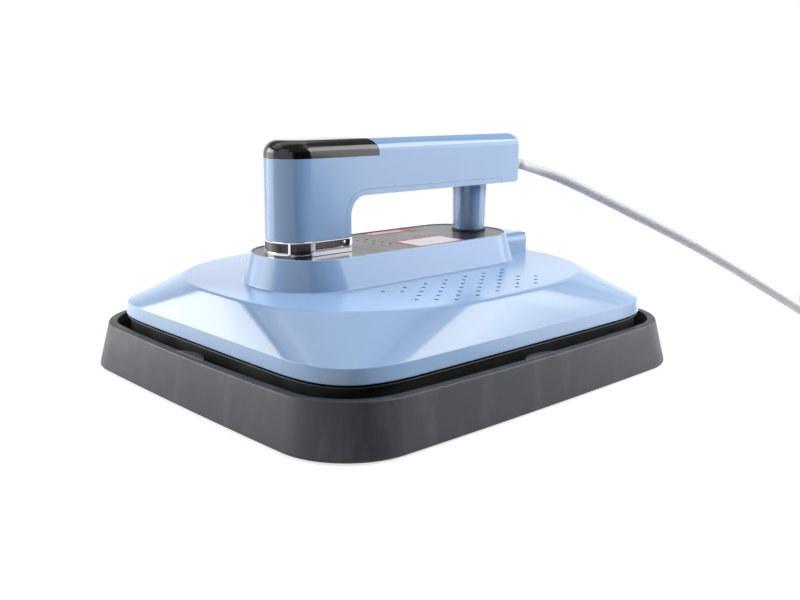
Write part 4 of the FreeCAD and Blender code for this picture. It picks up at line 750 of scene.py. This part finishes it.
def collar_ring(out, z):
    """Plan of the post's collar: a round nose and a flat rear."""
    half = HALF_WIDTH + out
    points = arc_points(NOSE_X, 0, half, 90, 270, 60)
    rear = POST_REAR + out
    points += between(points[-1], (rear, -half), 10) + [(rear, -half)]
    points += between((rear, -half), (rear, half), 10) + [(rear, half)]
    points += between((rear, half), points[0], 10)
    return [Vector((x, y, z)) for x, y in points]


def sector(name, start, end, inner, outer, low, high):
    """A curved block round the nose, for a sunk panel. Angles in degrees."""
    outline = arc_points(NOSE_X, 0, outer, start, end, 24) + arc_points(NOSE_X, 0, inner, end, start, 24)
    return prism(name, outline, low, high, "z")


# A panel's floor, round the nose: the most from the nose's centre, and its heights. Along the sides:
# the most from the middle plane, its span, and its heights. It stands upright when its normal rises
# less than this
NOSE_FLOOR, NOSE_FLOOR_FOOT, NOSE_FLOOR_TOP = 19.6, 91.0, 99.0
SIDE_FLOOR, SIDE_FLOOR_START, SIDE_FLOOR_END, SIDE_FLOOR_FOOT, SIDE_FLOOR_TOP = 18.6, -82, -51.5, 90.5, 99.2
UPRIGHT = 0.3


def in_sunk_panel(face):
    """Whether a face of the collar is the floor of one of its sunk panels."""
    middle = face.center / MM
    if middle.x < NOSE_X:
        foot, top = NOSE_FLOOR_FOOT, NOSE_FLOOR_TOP
        behind = math.hypot(middle.x - NOSE_X, middle.y) < NOSE_FLOOR
    else:
        foot, top = SIDE_FLOOR_FOOT, SIDE_FLOOR_TOP
        behind = abs(middle.y) < SIDE_FLOOR and SIDE_FLOOR_START < middle.x < SIDE_FLOOR_END
    return behind and abs(face.normal.z) < UPRIGHT and foot < middle.z < top


def make_collar():
    """The chrome collar round the post's foot, with sunk panels whose floors carry a painted reflection
    (dark metal with bronze streaks), and a stud on each side.
    """
    collar = loft("collar", [collar_ring(*row) for row in COLLAR])
    panels = [sector("front", FRONT_START, FRONT_END, FRONT_RADIUS, SUNK_REACH, FRONT_FOOT, SUNK_TOP)]
    for way in (1, -1):
        panels.append(sector("cheek", 180 + way * CHEEK_START, 180 + way * CHEEK_END, CHEEK_RADIUS,
                             SUNK_REACH, CHEEK_FOOT, SUNK_TOP))
        section = [(way * y, z) for y, z in SIDE_SECTION]
        panels.append(prism("side", section, SIDE_START, SIDE_END, "x"))
    cut(collar, *panels)
    bevel(collar, 0.28, 2, 50)
    collar.data.materials.append(looks["chrome"])
    collar.data.materials.append(looks["chrome_painted_reflection"])
    # The floors of the sunk panels take the painted reflection: dark metal with bronze streaks
    for face in collar.data.polygons:
        if in_sunk_panel(face):
            face.material_index = 1
    finish_piece(collar, "chrome", "press", "chrome", "chrome_collar")
    studs = [lathe("stud", STUD, (STUD_X, 0, STUD_Z), (0, way, 0), 20) for way in (1, -1)]
    finish_piece(merge("collar_studs", *studs), "chrome", "press", "chrome")


PANEL_TOP = 89.7
# Labels as (x, y) of two opposite corners. A field lies on its label's coloured edge
NEAR_LABEL = ((-1.0, -36.0), (46.5, -8.0))
FAR_LABEL = ((6.0, 24.0), (44.0, 34.5))
FAR_TAG = ((44.6, 22.0), (53.0, 33.0))
LABEL_THICKNESS, FIELD_THICKNESS, LABEL_CORNER = 0.12, 0.06, 1.6
NEAR_EDGE, FAR_EDGE = 2.4, 1.3


def sticker(name, look, corners, z=PANEL_TOP, thickness=LABEL_THICKNESS, inset=0.0):
    """A thin blank plate with round corners."""
    (x0, y0), (x1, y1) = corners
    half_x, half_y = (x1 - x0) / 2 - inset, (y1 - y0) / 2 - inset
    points = [(p.x + (x0 + x1) / 2, p.y + (y0 + y1) / 2)
              for p in ring(half_x, half_y, max(LABEL_CORNER - inset, 0.3), 0)]
    plate = prism(name, points, z, z + thickness, "z")
    return finish_piece(plate, look, "press", "black_gloss")


def make_labels():
    """Blank plates where the object carries its notices."""
    top = PANEL_TOP + LABEL_THICKNESS
    sticker("near_label_edge", "label_red", NEAR_LABEL)
    sticker("near_label_field", "label_white", NEAR_LABEL, top, FIELD_THICKNESS, NEAR_EDGE)
    sticker("far_label_edge", "label_red", FAR_LABEL)
    sticker("far_label_field", "label_pink", FAR_LABEL, top, FIELD_THICKNESS, FAR_EDGE)
    sticker("far_label_tag", "label_red", FAR_TAG)


# The switch's housing, flange and well: start, end, half width and half height
HOUSING = (116, 136.2, 16.5, 6.6)
FLANGE = (136.0, 137.5, 17.8, 7.2)
WELL = (117.1, 140, 15.4, 5.3)
# The rocker: half height, height of its face at the middle and the share of it at the edges, share of
# the half height that the face takes up, width, place of its base and tilt in degrees
ROCKER_HALF, ROCKER_NOSE, ROCKER_EDGE, ROCKER_FACE = 4.7, 7.5, 0.82, 0.98
ROCKER_WIDTH, ROCKER_X, ROCKER_TILT = 29.6, 135.5, 12
ROCKER_BACK, ROCKER_SHOULDER, ROCKER_BACK_SHARE = -2.2, 2.0, 0.6


def switch_block(name, start, end, half_width, half_height):
    """A block about the switch's axis."""
    return box(name, (start, -half_width, SWITCH_HEIGHT - half_height),
               (end, half_width, SWITCH_HEIGHT + half_height))


def make_switch():
    """The rocker switch in the boss at the rear."""
    housing = switch_block("switch_frame", *HOUSING)
    join(housing, bevel(switch_block("flange", *FLANGE), 0.9, 3, 60))
    cut(housing, switch_block("well", *WELL))
    bevel(housing, 0.2, 2, 60)
    finish_piece(housing, "black_plastic", "press", "black_plastic", "switch_housing")
    half = ROCKER_HALF
    face = [(ROCKER_NOSE - (1 - ROCKER_EDGE) * ROCKER_NOSE * t * t, t * ROCKER_FACE * half)
            for t in (-1 + n / 8 for n in range(17))]
    profile = ([(ROCKER_BACK, -ROCKER_BACK_SHARE * half), (ROCKER_SHOULDER, -ROCKER_FACE * half)] + face
               + [(ROCKER_SHOULDER, ROCKER_FACE * half), (ROCKER_BACK, ROCKER_BACK_SHARE * half)])
    tilt = math.radians(ROCKER_TILT)
    turned = [(ROCKER_X + x * math.cos(tilt) - z * math.sin(tilt),
               SWITCH_HEIGHT + x * math.sin(tilt) + z * math.cos(tilt)) for x, z in profile]
    rocker = prism("rocker", turned, -ROCKER_WIDTH / 2, ROCKER_WIDTH / 2)
    bevel(rocker, 0.45, 3, 50)
    finish_piece(rocker, "rocker_black", "rocker", "rocker_black", "power_rocker")


# ---------------------------------------------------------------- tray and skirt

# Half length, half width, corner, height, bow, ease, radius of the edge
TRAY = (
    (168.0, 148.0, 43.6, 1.0, 2.5, 1, 0),
    (172.1, 152.1, 47.7, 1.0, 2.5, 1, 1.6),
    (164.4, 144.4, 43.8, 33.4, 6.1, 1, 1.8),
    (158.6, 138.6, 38.0, 33.4, 6.1, 1, 0.9),
    (156.1, 136.1, 38.0, 4.0, 6.1, 1, 2.0),
    (150.0, 130.0, 32.0, 4.0, 6.1, 1, 0),
)
TRAY_INNER_TOP = 3
TAB_RADIUS, TAB_REACH, TAB_ROOT, TAB_TOP, TAB_THICKNESS = 23.0, 4.5, 2.4, 33.9, 3.0
SKIRT = (
    (152.6, 131.85, 42.1, 38.4, 0, 2, 0.3),
    (153.0, 132.25, 42.5, 14.5, 0, 2, 0.3),
    (154.9, 134.15, 44.4, 14.5, 0, 2, 0.9),
    (155.2, 134.45, 44.7, 35.7, 0, 2, 0.3),
    (157.0, 136.25, 46.5, 36.0, 0, 2, 0.4),
    (157.0, 136.25, 46.5, 37.1, 0, 2, 0.4),
    (154.6, 133.85, 44.1, 37.3, 0, 2, 0.2),
    (154.6, 133.85, 44.1, 38.4, 0, 2, 0.0),
)


def tray_tab(way_x, way_y):
    """A half-moon finger tab standing just proud of the rim's inner edge."""
    half_x, half_y, _, _, bow, _, _ = TRAY[TRAY_INNER_TOP]
    away = (half_x if way_x else half_y) + bow + TAB_RADIUS - TAB_REACH
    reach = math.degrees(math.acos((TAB_RADIUS - TAB_REACH - TAB_ROOT) / TAB_RADIUS))
    way = math.degrees(math.atan2(-way_y, -way_x))
    outline = arc_points(way_x * away, way_y * away, TAB_RADIUS, way - reach, way + reach, 24)
    tab = prism("tab", outline, TAB_TOP - TAB_THICKNESS, TAB_TOP, "z")
    return bevel(tab, 0.5, 3, 60)


def make_tray():
    """The resting tray with its finger tabs, and the skirt between it and the cover."""
    tray = shell("resting_tray", TRAY)
    join(tray, *[tray_tab(x, y) for x, y in ((1, 0), (-1, 0), (0, 1), (0, -1))])
    finish_piece(tray, "tray_plastic", "base", "tray_plastic", "base_tray")
    skirt = shell("skirt", SKIRT, closed=True, steps=3)
    finish_piece(skirt, "black_plastic", "press", "black_plastic", "heat_skirt")


# ---------------------------------------------------------------- cord and plug

CORD_RADIUS, CORD_LAY, COIL_RADIUS, COIL_PITCH, COIL_TURNS, COIL_TAIL = 4.1, 4.15, 57.0, 8.8, 5, 30.0
STEPS_PER_TURN = 16
# The cord's route from its strain relief to the floor, in metres
ROUTE = (
    (0.1440, 0.0000, 0.1398),
    (0.1680, 0.0000, 0.1340),
    (0.1880, -0.0120, 0.1260),
    (0.2070, -0.0330, 0.1130),
    (0.2300, -0.0660, 0.0940),
    (0.2570, -0.0980, 0.0740),
    (0.2840, -0.1270, 0.0520),
    (0.3080, -0.1550, 0.0300),
    (0.3290, -0.1780, 0.0120),
    (0.3480, -0.1990, 0.00415),
    (0.3660, -0.2200, 0.00415),
)


def coil_points():
    """The put-away length: it winds inward on the floor, climbs one layer, and winds out again."""
    before, last = Vector(ROUTE[-2]) / MM, Vector(ROUTE[-1]) / MM
    along = (last - before).normalized()
    inward = Vector((-along.y, along.x, 0))
    middle = last + along * 2 * CORD_RADIUS + inward * COIL_RADIUS
    first_angle = math.atan2(-inward.y, -inward.x)
    points = []
    for step in range(COIL_TURNS * STEPS_PER_TURN + 1):
        turn = step / STEPS_PER_TURN
        radius = COIL_RADIUS - COIL_PITCH * min(turn, COIL_TURNS - turn)
        share = min(max((turn - COIL_TURNS / 2) * 2 + 0.5, 0), 1)
        height = CORD_LAY + COIL_PITCH * (1 - math.cos(math.pi * share)) / 2
        angle = first_angle + 2 * math.pi * turn
        points.append(Vector((middle.x + radius * math.cos(angle), middle.y + radius * math.sin(angle),
                              height)))
    return points, along


def cord_path(points):
    """The smooth line through a spline that has these control points, in metres."""
    curve = bpy.data.curves.new("cord_line", "CURVE")
    curve.dimensions = "3D"
    spline = curve.splines.new("NURBS")
    spline.points.add(len(points) - 1)
    for point, place in zip(spline.points, points):
        point.co = (*place, 1)
    spline.order_u = 3
    spline.use_endpoint_u = True
    spline.resolution_u = 6
    line = bpy.data.objects.new("cord_line", curve)
    bpy.context.scene.collection.objects.link(line)
    graph = bpy.context.evaluated_depsgraph_get()
    mesh = bpy.data.meshes.new_from_object(line.evaluated_get(graph))
    path = [vertex.co.copy() for vertex in mesh.vertices]
    bpy.data.objects.remove(line)
    return path


def tube(name, path, radius, sides=20):
    """A round tube along a path, without twist, its ends closed."""
    ways = [(after - before).normalized() for before, after in
            zip([path[0]] + path[:-1], path[1:] + [path[-1]])]
    across = ways[0].orthogonal().normalized()
    rings = []
    for place, way in zip(path, ways):
        across = (across - way * across.dot(way)).normalized()
        other = way.cross(across)
        turns = [2 * math.pi * n / sides for n in range(sides)]
        rings.append([(place + (across * math.cos(t) + other * math.sin(t)) * radius) / MM for t in turns])
    return loft(name, rings)


def make_cord():
    """The cord from the handle to its coil, and the plug at its end."""
    turns, along = coil_points()
    tail = turns[-1] + along * COIL_TAIL
    points = [Vector(place) for place in ROUTE] + [point * MM for point in turns + [tail]]
    path = cord_path(points)
    cord = tube("mains_lead_cord", path, CORD_RADIUS * MM)
    cord.data.materials.append(looks["cord_grey"])
    for face in cord.data.polygons:
        face.use_smooth = True
    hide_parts("mains_cord", "cord_coil")
    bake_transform(cord)
    plug, pins = make_plug(tail, along)


# The sleeve: its length, where its ribs start, their pitch and count, and their radius and its taper
SLEEVE, RIB_START, RIB_PITCH, RIB_COUNT, RIB_RADIUS, RIB_TAPER = 26, 10.4, 2.9, 5, 6.0, 0.2


def make_relief():
    """The tapered, ribbed sleeve that guards the cord where it leaves the handle."""
    start, following = Vector(ROUTE[0]) / MM, Vector(ROUTE[1]) / MM
    along = (following - start).normalized()
    foot = start - along * SLEEVE
    profile = [(3.2, 6.5), (8.2, 6.5), (9.4, 6.4), (9.8, 6.1)]
    for n in range(RIB_COUNT):
        here = RIB_START + RIB_PITCH * n
        outer = RIB_RADIUS - RIB_TAPER * n
        profile += [(here, outer - 0.7), (here + 0.9, outer - 0.75), (here + 1.2, outer - 0.1),
                    (here + 2.4, outer - 0.12), (here + 2.7, outer - 0.65)]
    profile += [(25.0, 4.9), (25.8, 4.7), (26.0, 4.3)]
    relief = lathe("cord_sleeve", profile, foot, along, 40)
    finish_piece(relief, "cord_grey", "press", "cord_grey", "strain_relief", angle=50)


def rounded_section(half_a, half_b, corner, steps=6):
    """A small rounded rectangle in a plane across the plug."""
    points = []
    for quarter, (way_a, way_b) in enumerate(((1, 1), (-1, 1), (-1, -1), (1, -1))):
        points += arc_points(way_a * (half_a - corner), way_b * (half_b - corner), corner,
                             90 * quarter, 90 * quarter + 90, steps)
    return points


# The plug's sections: distance along it, half width, half height, corner and lift of its middle line
PLUG = (
    (0, 4.9, 4.15, 4.1, 0),
    (2, 5.2, 4.15, 4.1, 0),
    (4, 5.3, 4.15, 4.1, 0),
    (10, 6.4, 4.15, 4.1, 0.6),
    (16, 7.4, 5.2, 4.6, 2.2),
    (20, 10.6, 8.6, 5.2, 5.6),
    (25, 12.0, 11.2, 5.6, 8.0),
    (32, 12.4, 12.4, 5.6, 8.9),
    (44, 12.5, 12.8, 5.0, 9.0),
    (48.6, 12.5, 12.8, 4.4, 9.0),
    (50.0, 11.6, 11.9, 4.0, 9.0),
)
PLUG_REST = 4.1
# The blades: outline as distance along and up, half thickness, half pitch, height and root, and the
# hole's distance along and its drill
BLADE = ((0, -3.15), (15.4, -3.15), (17, -2.0), (17, 2.0), (15.4, 3.15), (0, 3.15))
BLADE_HALF, BLADE_SIDE, BLADE_RISE, BLADE_ROOT = 0.75, 6.35, 11.0, 49.5
BLADE_HOLE, HOLE_DRILL = 11.6, ((-2, 1.6), (2, 1.6))
GROUND_PIN, GROUND_RISE, GROUND_ROOT = ((0, 2.4), (17.5, 2.4), (19.2, 1.9), (20, 0.8)), 4.5, 49.0


def make_plug(tail, along):
    """A moulded plug lying on the floor, with two blades and a ground pin."""
    side = Vector((-along.y, along.x, 0))
    up = Vector((0, 0, 1))

    def place(a, b, c):
        """a across, b up from the floor's middle line, c along."""
        return tail + side * a + up * b + along * c

    rings = []
    for c, half_a, half_b, corner, lift in PLUG:
        corner = min(corner, half_a - 0.1, half_b - 0.1)
        section = rounded_section(half_a, min(half_b, PLUG_REST + lift), corner)
        rings.append([place(a, b + lift, c) for a, b in section])
    plug = loft("plug_body", rings)
    finish_piece(plug, "cord_grey", "base", "cord_grey", "plug", angle=40)
    blades = []
    for way in (-1, 1):
        sides = (way * BLADE_SIDE - BLADE_HALF, way * BLADE_SIDE + BLADE_HALF)
        blade = loft("blade", [[place(a, BLADE_RISE + b, BLADE_ROOT + c) for c, b in BLADE] for a in sides])
        middle = place(way * BLADE_SIDE, BLADE_RISE, BLADE_ROOT + BLADE_HOLE)
        cut(blade, lathe("hole", HOLE_DRILL, middle, side, 20))
        blades.append(bevel(blade, 0.2, 2, 50))
    ground = lathe("ground", GROUND_PIN, place(0, GROUND_RISE, GROUND_ROOT), along, 28)
    pins = merge("plug_blades", *blades, ground)
    finish_piece(pins, "pin_metal", "base", "pin_metal", "plug_pins")
    return plug, pins


make_camera()
make_relief()
make_cord()
dress_nodes()
make_cover()
make_handle()
make_rear_post()
make_collar()
make_labels()
make_switch()
make_tray()
make_lights()
make_world()
make_floor()
bpy.context.scene.view_settings.view_transform = "Standard"
